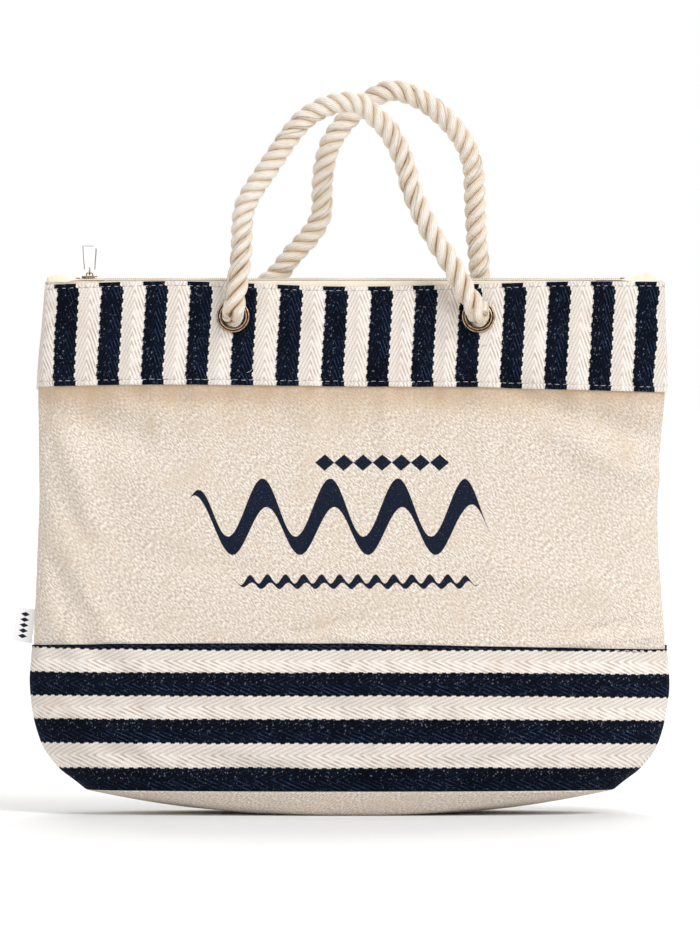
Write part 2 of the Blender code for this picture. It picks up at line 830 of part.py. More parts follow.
def main():
    clear_scene()
    bag = new_collection("canvas_tote_bag")
    cutters = new_collection("cutters")
    walls = make_walls(bag)
    make_base(bag)
    make_label(bag)
    make_eyelets(bag, cutters, walls)
    make_ropes(bag, cutters)
    make_hems(bag)
    make_flaps(bag)
    make_tape_ends(bag, cutters)
    make_slider(bag, cutters)
    make_link(bag)
    make_pull(bag)


main()
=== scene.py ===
"""Looks of the canvas tote bag: its cloth, ropes, eyelets and zip as finished meshes and materials.

Every cloth piece is cut from one body surface: two tables of points, one for each side, to which a short
cloth simulation and a few pressed creases give relief. The bag's front faces -Y. Units are metres.
"""

import math

import bmesh
import bpy
import numpy as np
from mathutils import Matrix, Vector


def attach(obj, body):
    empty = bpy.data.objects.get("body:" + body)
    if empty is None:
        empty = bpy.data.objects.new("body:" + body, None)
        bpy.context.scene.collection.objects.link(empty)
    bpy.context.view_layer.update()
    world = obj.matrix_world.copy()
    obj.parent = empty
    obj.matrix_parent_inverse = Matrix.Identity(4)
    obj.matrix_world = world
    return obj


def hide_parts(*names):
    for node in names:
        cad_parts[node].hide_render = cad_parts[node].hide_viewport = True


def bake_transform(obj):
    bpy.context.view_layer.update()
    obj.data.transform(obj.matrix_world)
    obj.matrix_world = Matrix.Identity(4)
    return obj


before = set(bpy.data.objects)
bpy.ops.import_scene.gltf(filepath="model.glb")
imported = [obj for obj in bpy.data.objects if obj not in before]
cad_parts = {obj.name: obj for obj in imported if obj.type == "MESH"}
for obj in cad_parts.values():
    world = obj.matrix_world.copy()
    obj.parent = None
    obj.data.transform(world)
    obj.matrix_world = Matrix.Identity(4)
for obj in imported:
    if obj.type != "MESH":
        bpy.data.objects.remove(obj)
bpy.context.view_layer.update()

MM = 0.001

# The body, as the CAD model shapes it
BODY_WIDTH = 0.450
BODY_HEIGHT = 0.372
BODY_DEPTH = 0.112
BODY_RINGS = (
    (0.047, 0.819, 0.929, 2.6), (0.089, 0.900, 0.972, 2.6), (0.134, 0.954, 1.000, 2.5),
    (0.226, 0.990, 0.982, 2.4), (0.323, 0.984, 0.895, 2.4), (0.591, 0.966, 0.679, 2.4),
    (0.806, 0.972, 0.527, 2.7), (0.970, 0.958, 0.318, 3.7), (1.000, 0.956, 0.250, 4.0),
)
SEAM_GAP = 0.0007
CLEARANCE = 0.0003
CANVAS_THICKNESS = 0.0010
BAND_THICKNESS = 0.0012
BAND_OUT = CLEARANCE + BAND_THICKNESS
BAND_LAP = 0.012
BASE_RISE = 0.0175
BASE_FLAT_HALF_LENGTH = 0.050
BASE_FLAT_HALF_DEPTH = 0.038
BASE_CURVE_POWER = 1.7
# How much further the cloth reaches at the left and at the right seam: height, left, right
SEAM_REACH = (
    (0.000, 0.0000, 0.0000), (0.060, 0.0005, 0.0000), (0.120, 0.0010, 0.0000), (0.190, 0.0015, -0.0015),
    (0.240, 0.0010, -0.0005), (0.300, 0.0005, 0.0030), (0.340, -0.0012, 0.0040),
    (0.375, -0.0022, 0.0050),
)

# Edges of the bands: place across from the left seam (-1) to the right one (1), and height
TOP_BAND_TOP = ((-1.0, 0.3712), (-0.63, 0.3738), (0.0, 0.3700), (0.45, 0.3722), (0.66, 0.3735), (1.0, 0.3735))
TOP_BAND_BOTTOM = (
    (-1.0, 0.2998), (-0.68, 0.3016), (0.0, 0.3006), (0.42, 0.3000), (0.72, 0.2978), (1.0, 0.2958),
)
LOW_BAND_TOP = ((-1.0, 0.1183), (-0.68, 0.1204), (0.0, 0.1212), (0.47, 0.1188), (1.0, 0.1152))
BACK_TOP_BAND_TOP = ((-1.0, 0.3735), (-0.45, 0.3722), (0.0, 0.3704), (0.5, 0.3730), (1.0, 0.3716))
BACK_TOP_BAND_BOTTOM = ((-1.0, 0.2975), (-0.4, 0.3002), (0.1, 0.3008), (0.6, 0.3012), (1.0, 0.2996))
BACK_LOW_BAND_TOP = ((-1.0, 0.1165), (-0.3, 0.1200), (0.2, 0.1210), (1.0, 0.1178))
TOP_BAND_CLOTH = 0.072

# Eyelets
EYELET_SPACING = 0.172
EYELET_MIDDLE = 0.004
EYELET_HEIGHT = BODY_HEIGHT - 0.023
EYELET_HOLE_RADIUS = 0.0084
EYELET_BARREL_RADIUS = 0.0091
EYELET_FLANGE_RADIUS = 0.0116
EYELET_FLANGE_THICKNESS = 0.0013
EYELET_ROLL_RADIUS = 0.0104
EYELET_ROLL_THICKNESS = 0.0007
EYELET_SEAT_GAP = 0.0005
WASHER_THICKNESS = 0.0008
EYELET_GROOVE = EYELET_FLANGE_RADIUS - 1.48 * MM

# Ropes
ROPE_DIAMETER = 0.0155
HANDLE_LEAN = math.radians(4)
ROPE_TO_FLANGE = 0.0010
FRONT_ROPE_LENGTH = 0.415
BACK_ROPE_LENGTH = 0.441
# Each arch: share of the way from the middle to an eyelet, and height above the eyelets
FRONT_ROPE_ROUTE = (
    (-1.000, 0.000), (-0.972, 0.017), (-0.931, 0.043), (-0.919, 0.067), (-0.872, 0.081),
    (-0.722, 0.101), (-0.559, 0.122), (-0.407, 0.137), (-0.210, 0.146), (-0.012, 0.148), (0.139, 0.140),
    (0.279, 0.127), (0.393, 0.107), (0.458, 0.086), (0.608, 0.058), (0.783, 0.034), (1.000, 0.000),
)
BACK_ROPE_ROUTE = (
    (-1.000, 0.000), (-0.847, 0.012), (-0.640, 0.027), (-0.524, 0.040), (-0.361, 0.056),
    (-0.280, 0.070), (-0.275, 0.087), (-0.256, 0.103), (-0.210, 0.118), (-0.128, 0.130),
    (-0.012, 0.141), (0.104, 0.149), (0.253, 0.156), (0.403, 0.155), (0.593, 0.147), (0.779, 0.133),
    (0.903, 0.118), (0.963, 0.102), (0.973, 0.086), (0.981, 0.069), (0.993, 0.050), (1.013, 0.033),
    (1.000, 0.000),
)
KNOT_SHIFT = 0.009
KNOT_SINK = 0.0138
KNOT_LOOP = (5.6 * MM, 5.4 * MM, 5.2 * MM)
KNOT_LOOP_SPACING = 2.6 * MM
KNOT_STRAND_RADIUS = 3.6 * MM
KNOT_REACH = 9.5 * MM

# Zip
ZIP_HEIGHT = BODY_HEIGHT + 0.0032
TAPE_THICKNESS = 0.0006
HEM_DEPTH = 0.010
HEM_TOP = 0.0022
FLAP_HINGE_HALF_GAP = 0.0120
FLAP_HALF_LENGTH = 0.171
COIL_RADIUS = 0.0013
COIL_HALF_GAP = 0.0008
COIL_MIDDLE = COIL_HALF_GAP + COIL_RADIUS
END_START = 0.172
# The ridge of each closed end: where it starts, its peak and its tip, and how high it is
END_RIDGE = {"left": (0.1900, 0.2040, 0.2130, 0.0034), "right": (0.1900, 0.2105, 0.2150, 0.0048)}
SLIDER_PARK = 0.183
SLIDER_LENGTH = 0.011
SLIDER_HALF_WIDTH = 0.0042
SLIDER_PLATE = 0.0009
STOP_LENGTH = 0.0030
STOP_BEVEL = 0.0005
COIL_END = SLIDER_PARK + SLIDER_LENGTH / 2 + 4 * CLEARANCE
LINK_RADIUS = 0.0024
LINK_WIRE = 0.0009
LINK_HANG = 0.0012
PULL_WIDTH = 0.0100
PULL_EYE_WIDTH = 0.0058
PULL_LENGTH = 0.0172
PULL_THICKNESS = 0.0011

# Label
LABEL_LENGTH = 0.0135
LABEL_HEIGHT = 0.024
LABEL_RISE = 0.132
LABEL_TILT = math.radians(8)

# View
CAMERA_DISTANCE = 9.0
CAMERA_RISE = math.radians(1.6)
PICTURE_HEIGHT = 0.656
PICTURE_MIDDLE = 0.2436
SENSOR = 36.0

FRONT, BACK = 1, -1
SIDES = {"front": FRONT, "back": BACK}
ENDS = {"left": -1, "right": 1}


# Shader nodes as plain arithmetic


def feed(tree, node, values):
    """Give a node's inputs their values: fields are linked and numbers set."""
    for target, value in zip(node.inputs, values):
        if isinstance(value, Field):
            tree.links.new(value.socket, target)
        else:
            target.default_value = value


class Field:
    """A value that varies over a surface, kept as a shader socket."""

    def __init__(self, tree, socket):
        self.tree, self.socket = tree, socket

    def math(self, operation, *values):
        node = self.tree.nodes.new("ShaderNodeMath")
        node.operation = operation
        feed(self.tree, node, values)
        return Field(self.tree, node.outputs[0])

    def __add__(self, other):
        return self.math("ADD", self, other)

    def __sub__(self, other):
        return self.math("SUBTRACT", self, other)

    def __rsub__(self, other):
        return self.math("SUBTRACT", other, self)

    def __mul__(self, other):
        return self.math("MULTIPLY", self, other)

    def __truediv__(self, other):
        return self.math("DIVIDE", self, other)

    def __abs__(self):
        return self.math("ABSOLUTE", self)

    __radd__, __rmul__ = __add__, __mul__

    def most(self, other):
        return self.math("MAXIMUM", self, other)

    def wave(self):
        """From -1 to 1, one swing for each whole number."""
        return self.math("SINE", self * (2 * math.pi))

    def part(self):
        """What is left after the whole number."""
        return self.math("FRACT", self)

    def between(self, low, high, at_low=0.0, at_high=1.0):
        """A smooth step from one value to the other."""
        node = self.tree.nodes.new("ShaderNodeMapRange")
        node.interpolation_type = "SMOOTHSTEP"
        self.tree.links.new(self.socket, node.inputs["Value"])
        for word, value in zip(("From Min", "From Max", "To Min", "To Max"), (low, high, at_low, at_high)):
            node.inputs[word].default_value = value
        return Field(self.tree, node.outputs["Result"])


class Finish:
    """A material with one Principled shader and a cloth coordinate in metres."""

    def __init__(self, name, roughness, metallic=0.0, coordinate="UV", **constants):
        self.material = bpy.data.materials.new(name)
        self.material.use_nodes = True
        self.tree = self.material.node_tree
        self.shader = self.tree.nodes["Principled BSDF"]
        self.shader.inputs["Roughness"].default_value = roughness
        self.shader.inputs["Metallic"].default_value = metallic
        for word, value in constants.items():
            self.shader.inputs[word.replace("_", " ").title().replace("Ior", "IOR")].default_value = value
        self.x, self.y, self.z = self.split(coordinate)

    def split(self, coordinate):
        place = self.tree.nodes.new("ShaderNodeTexCoord")
        split = self.tree.nodes.new("ShaderNodeSeparateXYZ")
        self.tree.links.new(place.outputs[coordinate], split.inputs[0])
        return [Field(self.tree, out) for out in split.outputs]

    def point(self, x, y, z=0.0):
        node = self.tree.nodes.new("ShaderNodeCombineXYZ")
        feed(self.tree, node, (x, y, z))
        return node.outputs[0]

    def stretched(self, stretch, shift):
        return self.point(self.x * stretch[0] + shift, self.y * stretch[1], self.z * stretch[2])

    def texture(self, node, scale, place, output):
        node.inputs["Scale"].default_value = scale
        self.tree.links.new(place, node.inputs["Vector"])
        return Field(self.tree, node.outputs[output])

    def noise(self, scale, detail=2.0, stretch=(1.0, 1.0, 1.0), shift=0.0, rough=0.5):
        """Cloudy noise around one half, with so many lumps to a metre."""
        node = self.tree.nodes.new("ShaderNodeTexNoise")
        node.inputs["Detail"].default_value = detail
        node.inputs["Roughness"].default_value = rough
        return self.texture(node, scale, self.stretched(stretch, shift), "Fac")

    def dashes(self, scale, stretch):
        """Noise drawn out along the cloth's diagonal."""
        node = self.tree.nodes.new("ShaderNodeTexNoise")
        node.inputs["Detail"].default_value = 1.0
        return self.texture(node, scale, self.point((self.x - self.y) * stretch, self.x + self.y), "Fac")

    def specks(self, scale, stretch=(1.0, 1.0, 1.0), shift=0.0):
        """Distance to the nearest of scattered points, in cells."""
        node = self.tree.nodes.new("ShaderNodeTexVoronoi")
        return self.texture(node, scale, self.stretched(stretch, shift), "Distance")

    def mix(self, factor, first, second):
        node = self.tree.nodes.new("ShaderNodeMix")
        node.data_type = "RGBA"
        node.clamp_factor = True
        self.tree.links.new(factor.socket, node.inputs["Factor"])
        colors = [target for target in node.inputs if target.type == "RGBA"]
        for target, value in zip(colors, (first, second)):
            if isinstance(value, tuple):
                target.default_value = (*value, 1.0)
            else:
                self.tree.links.new(value, target)
        return next(out for out in node.outputs if out.type == "RGBA")

    def color(self, socket):
        if isinstance(socket, tuple):
            self.shader.inputs["Base Color"].default_value = (*socket, 1.0)
        else:
            self.tree.links.new(socket, self.shader.inputs["Base Color"])

    def roughness(self, field):
        self.tree.links.new(field.socket, self.shader.inputs["Roughness"])

    def bump(self, height, depth, strength=1.0):
        node = self.tree.nodes.new("ShaderNodeBump")
        node.inputs["Distance"].default_value = depth
        node.inputs["Strength"].default_value = strength
        self.tree.links.new(height.socket, node.inputs["Height"])
        self.tree.links.new(node.outputs[0], self.shader.inputs["Normal"])


# Mesh helpers


def linked(name, data):
    """An object with this data, in the scene."""
    obj = bpy.data.objects.new(name, data)
    bpy.context.scene.collection.objects.link(obj)
    return obj


def taken_mesh(shape, name):
    """The mesh of a bmesh, which isn't needed afterwards."""
    mesh = bpy.data.meshes.new(name)
    shape.to_mesh(mesh)
    shape.free()
    return mesh


def add_mesh(name, points, faces, coordinates=None, smooth=True):
    """An object from points, faces and, where given, one cloth coordinate for each point."""
    mesh = bpy.data.meshes.new(name)
    mesh.from_pydata([tuple(p) for p in points], [], [tuple(int(i) for i in f) for f in faces])
    mesh.update()
    if coordinates is not None:
        layer = mesh.uv_layers.new(name="cloth")
        corners = np.zeros(len(mesh.loops), np.int32)
        mesh.loops.foreach_get("vertex_index", corners)
        layer.data.foreach_set("uv", np.asarray(coordinates, np.float32)[corners].ravel())
    if smooth:
        mesh.shade_smooth()
    return linked(name, mesh)


def finish_piece(obj, finish, body, replaced=()):
    obj.data.materials.clear()
    obj.data.materials.append(finish.material)
    if body:
        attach(obj, body)
    if replaced:
        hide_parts(*replaced)
    return obj


def grid_faces(rows, columns, first=0, wrap_rows=False, wrap_columns=False):
    """Quads between rows of points, each row holding so many columns."""
    faces = []
    for row in range(rows if wrap_rows else rows - 1):
        above = (row + 1) % rows
        for column in range(columns if wrap_columns else columns - 1):
            right = (column + 1) % columns
            faces.append(
                (
                    first + row * columns + column,
                    first + row * columns + right,
                    first + above * columns + right,
                    first + above * columns + column,
                )
            )
    return faces


def lengths_along(points):
    """How far along a path each of its points is."""
    return np.concatenate(([0.0], np.cumsum(np.linalg.norm(np.diff(points, axis=0), axis=1))))


def path_frames(points):
    """Directions along a path, and two directions across it that turn as little as they can."""
    along = np.gradient(points, axis=0)
    along /= np.linalg.norm(along, axis=1)[:, None]
    across = np.zeros_like(along)
    start = np.cross(along[0], (0.0, 0.0, 1.0) if abs(along[0][2]) < 0.9 else (1.0, 0.0, 0.0))
    across[0] = start / np.linalg.norm(start)
    for i in range(1, len(points)):
        side = across[i - 1] - along[i] * (across[i - 1] @ along[i])
        across[i] = side / np.linalg.norm(side)
    return along, across, np.cross(along, across)


def tube(points, radii, sides, closed=False):
    """Points, faces and (turn, length) coordinates of a tube with capped or joined ends."""
    points = np.asarray(points, float)
    radii = np.broadcast_to(np.asarray(radii, float), (len(points),))
    if closed:
        along = np.roll(points, -1, 0) - np.roll(points, 1, 0)
        along /= np.linalg.norm(along, axis=1)[:, None]
        middle = points.mean(0)
        outward = points - middle
        outward -= along * (outward * along).sum(1)[:, None]
        first = outward / np.linalg.norm(outward, axis=1)[:, None]
        second = np.cross(along, first)
    else:
        along, first, second = path_frames(points)
    turns = 2 * math.pi * np.arange(sides) / sides
    rings = points[:, None] + radii[:, None, None] * (
        np.cos(turns)[None, :, None] * first[:, None] + np.sin(turns)[None, :, None] * second[:, None]
    )
    length = lengths_along(points)
    coordinates = np.stack(np.broadcast_arrays(turns[None, :] / (2 * math.pi), length[:, None]), -1)
    faces = grid_faces(len(points), sides, wrap_rows=closed, wrap_columns=True)
    if not closed:
        last = (len(points) - 1) * sides
        faces += [tuple(range(sides))[::-1], tuple(range(last, last + sides))]
    return rings.reshape(-1, 3), faces, coordinates.reshape(-1, 2)


def joined(parts):
    """Several (points, faces, coordinates) as one."""
    points, faces, coordinates, count = [], [], [], 0
    for part_points, part_faces, part_coordinates in parts:
        points.append(part_points)
        coordinates.append(part_coordinates)
        faces += [tuple(i + count for i in face) for face in part_faces]
        count += len(part_points)
    return np.concatenate(points), faces, np.concatenate(coordinates)


def turned(outline, steps):
    """A closed outline of (radius, height) pairs, its outer side running down, turned about Z."""
    turns = 2 * math.pi * np.arange(steps) / steps
    outline = np.asarray(outline, float)
    radius, height = outline[:, 0], outline[:, 1]
    points = np.stack(
        [
            np.cos(turns)[:, None] * radius,
            np.sin(turns)[:, None] * radius,
            np.broadcast_to(height, (steps, len(outline))),
        ],
        -1,
    )
    coordinates = np.stack(np.broadcast_arrays(turns[:, None] / (2 * math.pi), radius), -1)
    return (
        points.reshape(-1, 3),
        grid_faces(steps, len(outline), wrap_rows=True, wrap_columns=True),
        coordinates.reshape(-1, 2),
    )


def smooth_points(points, count):
    """Evenly numbered points of a Catmull-Rom curve through the given ones."""
    points = np.asarray(points, float)
    padded = np.concatenate(([2 * points[0] - points[1]], points, [2 * points[-1] - points[-2]]))
    place = np.arange(count + 1) * (len(points) - 1) / count
    index = np.minimum(place.astype(int), len(points) - 2)
    t = (place - index)[:, None]
    a, b, c, d = (padded[index + k] for k in range(4))
    return (2 * b + (c - a) * t + (2 * a - 5 * b + 4 * c - d) * t**2 + (3 * b - 3 * c + d - a) * t**3) / 2


def even_points(points, spacing):
    """Points the same distance apart along a path."""
    length = lengths_along(points)
    count = max(int(round(length[-1] / spacing)), 2)
    places = np.linspace(0.0, length[-1], count + 1)
    return np.stack([np.interp(places, length, points[:, k]) for k in range(3)], -1)


def eased(first, last, leaving, arriving, t):
    """From first to last as t goes from 0 to 1, leaving and arriving at the given slopes."""
    return (
        first * (1 - 3 * t**2 + 2 * t**3)
        + last * (3 * t**2 - 2 * t**3)
        + leaving * (t - 2 * t**2 + t**3)
        + arriving * (t**3 - t**2)
    )


def smooth_curve(knots, x):
    """Heights of a smooth curve through (place, height) pairs."""
    places, heights = np.array(knots, float).T
    slopes = np.gradient(heights, places)
    x = np.clip(x, places[0], places[-1])
    index = np.clip(np.searchsorted(places, x) - 1, 0, len(places) - 2)
    span = places[index + 1] - places[index]
    t = (x - places[index]) / span
    return eased(heights[index], heights[index + 1], slopes[index] * span, slopes[index + 1] * span, t)


# The body surface


def ring_at(height):
    """Half width, half depth and squareness of the canvas skin at a height."""
    share = height / BODY_HEIGHT
    rows = BODY_RINGS
    index = max(i for i in range(len(rows) - 1) if i == 0 or share >= rows[i][0])
    low, high = rows[index], rows[index + 1]
    before, after = rows[max(index - 1, 0)], rows[min(index + 2, len(rows) - 1)]
    span = high[0] - low[0]
    t = min(max((share - low[0]) / span, -1.0), 1.5)
    values = []
    for k in (1, 2, 3):
        start = (high[k] - before[k]) / (high[0] - before[0]) * span
        end = (after[k] - low[k]) / (after[0] - low[0]) * span
        if t < 0:
            values.append(low[k] + start * t)
        elif t > 1:
            values.append(high[k] + end * (t - 1))
        else:
            values.append(eased(low[k], high[k], start, end, t))
    return values[0] * BODY_WIDTH / 2, values[1] * BODY_DEPTH / 2, values[2]


def squared(value, squareness):
    """A sine or cosine drawn towards the corners of a square."""
    return np.sign(value) * np.abs(value) ** (2 / squareness)


def table_lookup(table, across, height):
    """Bilinear value of a table over the share across (right seam 0, left seam 1) and the height."""
    rows, columns = table.shape[:2]
    row = np.clip((height - TABLE_LOW) / (TABLE_HIGH - TABLE_LOW), 0, 1) * (rows - 1)
    column = np.clip(across, 0, 1) * (columns - 1)
    r, c = np.minimum(row.astype(int), rows - 2), np.minimum(column.astype(int), columns - 2)
    s, t = row - r, column - c
    if table.ndim == 3:
        s, t = s[..., None], t[..., None]
    low = table[r, c] * (1 - t) + table[r, c + 1] * t
    high = table[r + 1, c] * (1 - t) + table[r + 1, c + 1] * t
    return low * (1 - s) + high * s


TABLE_LOW, TABLE_HIGH = 0.008, 0.384
TABLE_ROWS, TABLE_COLUMNS = 189, 481


class Wall:
    """One side of the body: where its cloth is, which way it faces and how it is creased."""

    def __init__(self, side):
        self.side = side
        heights = np.linspace(TABLE_LOW, TABLE_HIGH, TABLE_ROWS)
        shares = np.linspace(0.0, 1.0, TABLE_COLUMNS)
        fine = np.linspace(0.0, 1.0, 1601)
        angles = math.pi * (fine - np.sin(2 * math.pi * fine) / (2 * math.pi) * 0.9)
        reach_heights, left_reach, right_reach = np.array(SEAM_REACH).T
        points = np.zeros((TABLE_ROWS, TABLE_COLUMNS, 3))
        self.along = np.zeros((TABLE_ROWS, TABLE_COLUMNS))
        for row, height in enumerate(heights):
            half_width, half_depth, squareness = ring_at(height)
            across, forward = np.cos(angles), np.clip(np.sin(angles), 0.0, None)
            x = half_width * squared(across, squareness)
            y = half_depth * forward ** (2 / squareness)
            left, right = (np.interp(height, reach_heights, reach) for reach in (left_reach, right_reach))
            x = x + np.where(x > 0, right, -left) * np.abs(x / half_width) ** 5
            length = np.concatenate(([0.0], np.cumsum(np.hypot(np.diff(x), np.diff(y)))))
            places = shares * length[-1]
            points[row, :, 0] = np.interp(places, length, x)
            points[row, :, 1] = -side * np.interp(places, length, y)
            points[row, :, 2] = height
            self.along[row] = length[-1] / 2 - places
        self.points = points
        up, across = np.gradient(points, axis=0), np.gradient(points, axis=1)
        normals = side * np.cross(up, across)
        self.normals = normals / np.linalg.norm(normals, axis=2)[..., None]
        self.relief = np.zeros((TABLE_ROWS, TABLE_COLUMNS))

    def cloth(self, across, height, out):
        """Points at a distance from the skin, and how far along the cloth they are from the middle."""
        across, height = np.broadcast_arrays(np.asarray(across, float), np.asarray(height, float))
        inside = np.clip(height, TABLE_LOW, TABLE_HIGH)
        reach = table_lookup(self.relief, across, inside) + out
        points = table_lookup(self.points, across, inside)
        points = points + table_lookup(self.normals, across, inside) * np.asarray(reach)[..., None]
        points[..., 1] = -self.side * np.maximum(-self.side * points[..., 1], SEAM_GAP / 2)
        return points, table_lookup(self.along, across, inside)

    def share_at(self, x, height):
        """The share across at which the skin has this x."""
        row = table_lookup(self.points, np.linspace(0, 1, TABLE_COLUMNS), np.full(TABLE_COLUMNS, height))
        return float(np.interp(-x, -row[:, 0], np.linspace(0, 1, TABLE_COLUMNS)))


walls = {word: Wall(side) for word, side in SIDES.items()}

# Creases pressed into each side: start and end (x, height), half width, rise (a fall where negative)
CREASES = {
    "front": (
        (-0.222, 0.292, -0.150, 0.262, 0.014, -0.0022),
        (-0.150, 0.294, -0.060, 0.286, 0.008, -0.0010),
        (-0.218, 0.250, -0.150, 0.236, 0.018, 0.0012),
        (0.040, 0.296, 0.110, 0.280, 0.010, -0.0010),
        (0.120, 0.296, 0.216, 0.258, 0.012, -0.0026),
        (0.150, 0.268, 0.222, 0.232, 0.012, 0.0018),
        (0.190, 0.248, 0.225, 0.246, 0.003, -0.0012),
        (-0.204, 0.122, -0.200, 0.146, 0.003, -0.0007),
        (-0.040, 0.128, 0.006, 0.138, 0.004, -0.0009),
        (-0.010, 0.127, 0.050, 0.124, 0.004, 0.0008),
        (0.130, 0.126, 0.200, 0.134, 0.004, -0.0010),
        (0.150, 0.121, 0.224, 0.126, 0.003, 0.0010),
        (-0.150, 0.185, -0.080, 0.172, 0.010, -0.0008),
        (0.100, 0.175, 0.170, 0.160, 0.012, 0.0010),
        (-0.120, 0.320, -0.040, 0.345, 0.010, -0.0008),
        (0.000, 0.315, 0.060, 0.335, 0.009, -0.0012),
        (-0.020, 0.345, 0.070, 0.352, 0.006, 0.0008),
        (0.110, 0.330, 0.150, 0.352, 0.008, -0.0009),
        (0.165, 0.345, 0.214, 0.352, 0.009, -0.0012),
    ),
    "back": (
        (-0.216, 0.256, -0.120, 0.294, 0.012, -0.0024),
        (-0.222, 0.235, -0.150, 0.262, 0.012, 0.0016),
        (0.060, 0.294, 0.150, 0.270, 0.010, -0.0014),
        (0.150, 0.240, 0.220, 0.252, 0.016, -0.0014),
        (-0.060, 0.126, 0.020, 0.134, 0.004, -0.0009),
        (-0.200, 0.124, -0.130, 0.132, 0.004, 0.0009),
        (0.060, 0.180, 0.150, 0.168, 0.012, -0.0009),
        (-0.100, 0.200, -0.020, 0.214, 0.014, 0.0010),
        (-0.090, 0.330, -0.020, 0.345, 0.009, -0.0010),
        (0.040, 0.318, 0.120, 0.332, 0.010, -0.0010),
    ),
}

CREASE_DEPTH = 2.0

# Cloth simulation
SIM_ROW_SPACING = 0.0062
SIM_COLUMNS = 76
SIM_FRAMES = 22
SIM_CAP = 0.0036
SIM_GRAVITY = 0.6
SIM_SETTINGS = {
    "quality": 6,
    "mass": 0.25,
    "tension_stiffness": 20,
    "compression_stiffness": 20,
    "shear_stiffness": 8,
    "bending_stiffness": 2.5,
    "air_damping": 3,
    "shrink_min": -0.020,
    "use_pressure": True,
    "uniform_pressure_force": 0.15,
}
# How firmly the bands hold the cloth behind them
TOP_BAND_HOLD = 0.35
LOW_BAND_HOLD = 0.25


def settle_cloth():
    """Let the body's cloth settle, with a little spare length, and read how far it moved in or out."""
    rows = int(round((BODY_HEIGHT - BASE_RISE) / SIM_ROW_SPACING))
    heights = np.linspace(BASE_RISE, BODY_HEIGHT, rows + 1)
    shares = np.linspace(0.0, 1.0, SIM_COLUMNS + 1)
    front, _ = walls["front"].cloth(shares[None, :], heights[:, None], 0.0)
    back, _ = walls["back"].cloth(shares[None, ::-1], heights[:, None], 0.0)
    rest = np.concatenate((front[:, :-1], back[:, :-1]), axis=1)
    columns = rest.shape[1]
    faces = grid_faces(rows + 1, columns, wrap_columns=True)
    obj = add_mesh("settling_cloth", rest.reshape(-1, 3), faces)
    pinned = obj.vertex_groups.new(name="held")
    seam = np.minimum(np.arange(columns) % SIM_COLUMNS, SIM_COLUMNS - np.arange(columns) % SIM_COLUMNS)
    for row, height in enumerate(heights):
        hold = 1.0 if row in (0, 1, rows - 1, rows) else 0.0
        if height > TOP_BAND_BOTTOM[0][1]:
            hold = max(hold, TOP_BAND_HOLD)
        if height < LOW_BAND_TOP[0][1]:
            hold = max(hold, LOW_BAND_HOLD)
        for column in range(columns):
            weight = 1.0 if seam[column] == 0 else hold
            if weight:
                pinned.add([row * columns + column], weight, "REPLACE")
    cloth = obj.modifiers.new("cloth", "CLOTH")
    for word, value in SIM_SETTINGS.items():
        setattr(cloth.settings, word, value)
    cloth.settings.vertex_group_mass = pinned.name
    cloth.settings.effector_weights.gravity = SIM_GRAVITY
    cloth.point_cache.frame_start = 1
    cloth.point_cache.frame_end = SIM_FRAMES
    for step in range(1, SIM_FRAMES + 1):
        bpy.context.scene.frame_set(step)
    evaluated = obj.evaluated_get(bpy.context.evaluated_depsgraph_get())
    moved = np.zeros(len(evaluated.data.vertices) * 3)
    evaluated.data.vertices.foreach_get("co", moved)
    moved = moved.reshape(rest.shape) - rest
    bpy.data.objects.remove(obj)
    bpy.context.scene.frame_set(1)
    behind = np.concatenate((moved[:, SIM_COLUMNS:], moved[:, :1]), axis=1)[:, ::-1]
    grid_rows = np.linspace(TABLE_LOW, TABLE_HIGH, TABLE_ROWS)
    grid_shares = np.linspace(0.0, 1.0, TABLE_COLUMNS)
    for wall, shift in ((walls["front"], moved[:, : SIM_COLUMNS + 1]), (walls["back"], behind)):
        facing = table_lookup(wall.normals, *np.broadcast_arrays(shares, heights[:, None]))
        reach = SIM_CAP * np.tanh((shift * facing).sum(2) / SIM_CAP)
        tall = np.stack([np.interp(grid_rows, heights, reach[:, c]) for c in range(len(shares))], -1)
        wall.relief += np.stack([np.interp(grid_shares, shares, row) for row in tall])


def blurred(table, times):
    """A table smoothed between neighbours."""
    for _ in range(times):
        padded = np.pad(table, 1, mode="edge")
        beside = padded[:-2, 1:-1] + padded[2:, 1:-1] + padded[1:-1, :-2] + padded[1:-1, 2:]
        table = (beside + 4 * padded[1:-1, 1:-1]) / 8
    return table


def press_creases():
    """Add the creases to the relief of both sides."""
    for word, wall in walls.items():
        x, height = wall.points[..., 0], wall.points[..., 2]
        for x0, z0, x1, z1, width, rise in CREASES[word]:
            run = np.array((x1 - x0, z1 - z0))
            length = np.linalg.norm(run)
            run /= length
            along = (x - x0) * run[0] + (height - z0) * run[1]
            off = np.maximum(np.maximum(-along, along - length), 0.0)
            aside = -(x - x0) * run[1] + (height - z0) * run[0]
            bend = aside + 0.15 * width * np.sin(along / length * 5)
            wall.relief += CREASE_DEPTH * rise * np.exp(-((bend / width) ** 2) - (off / (1.2 * width)) ** 2)


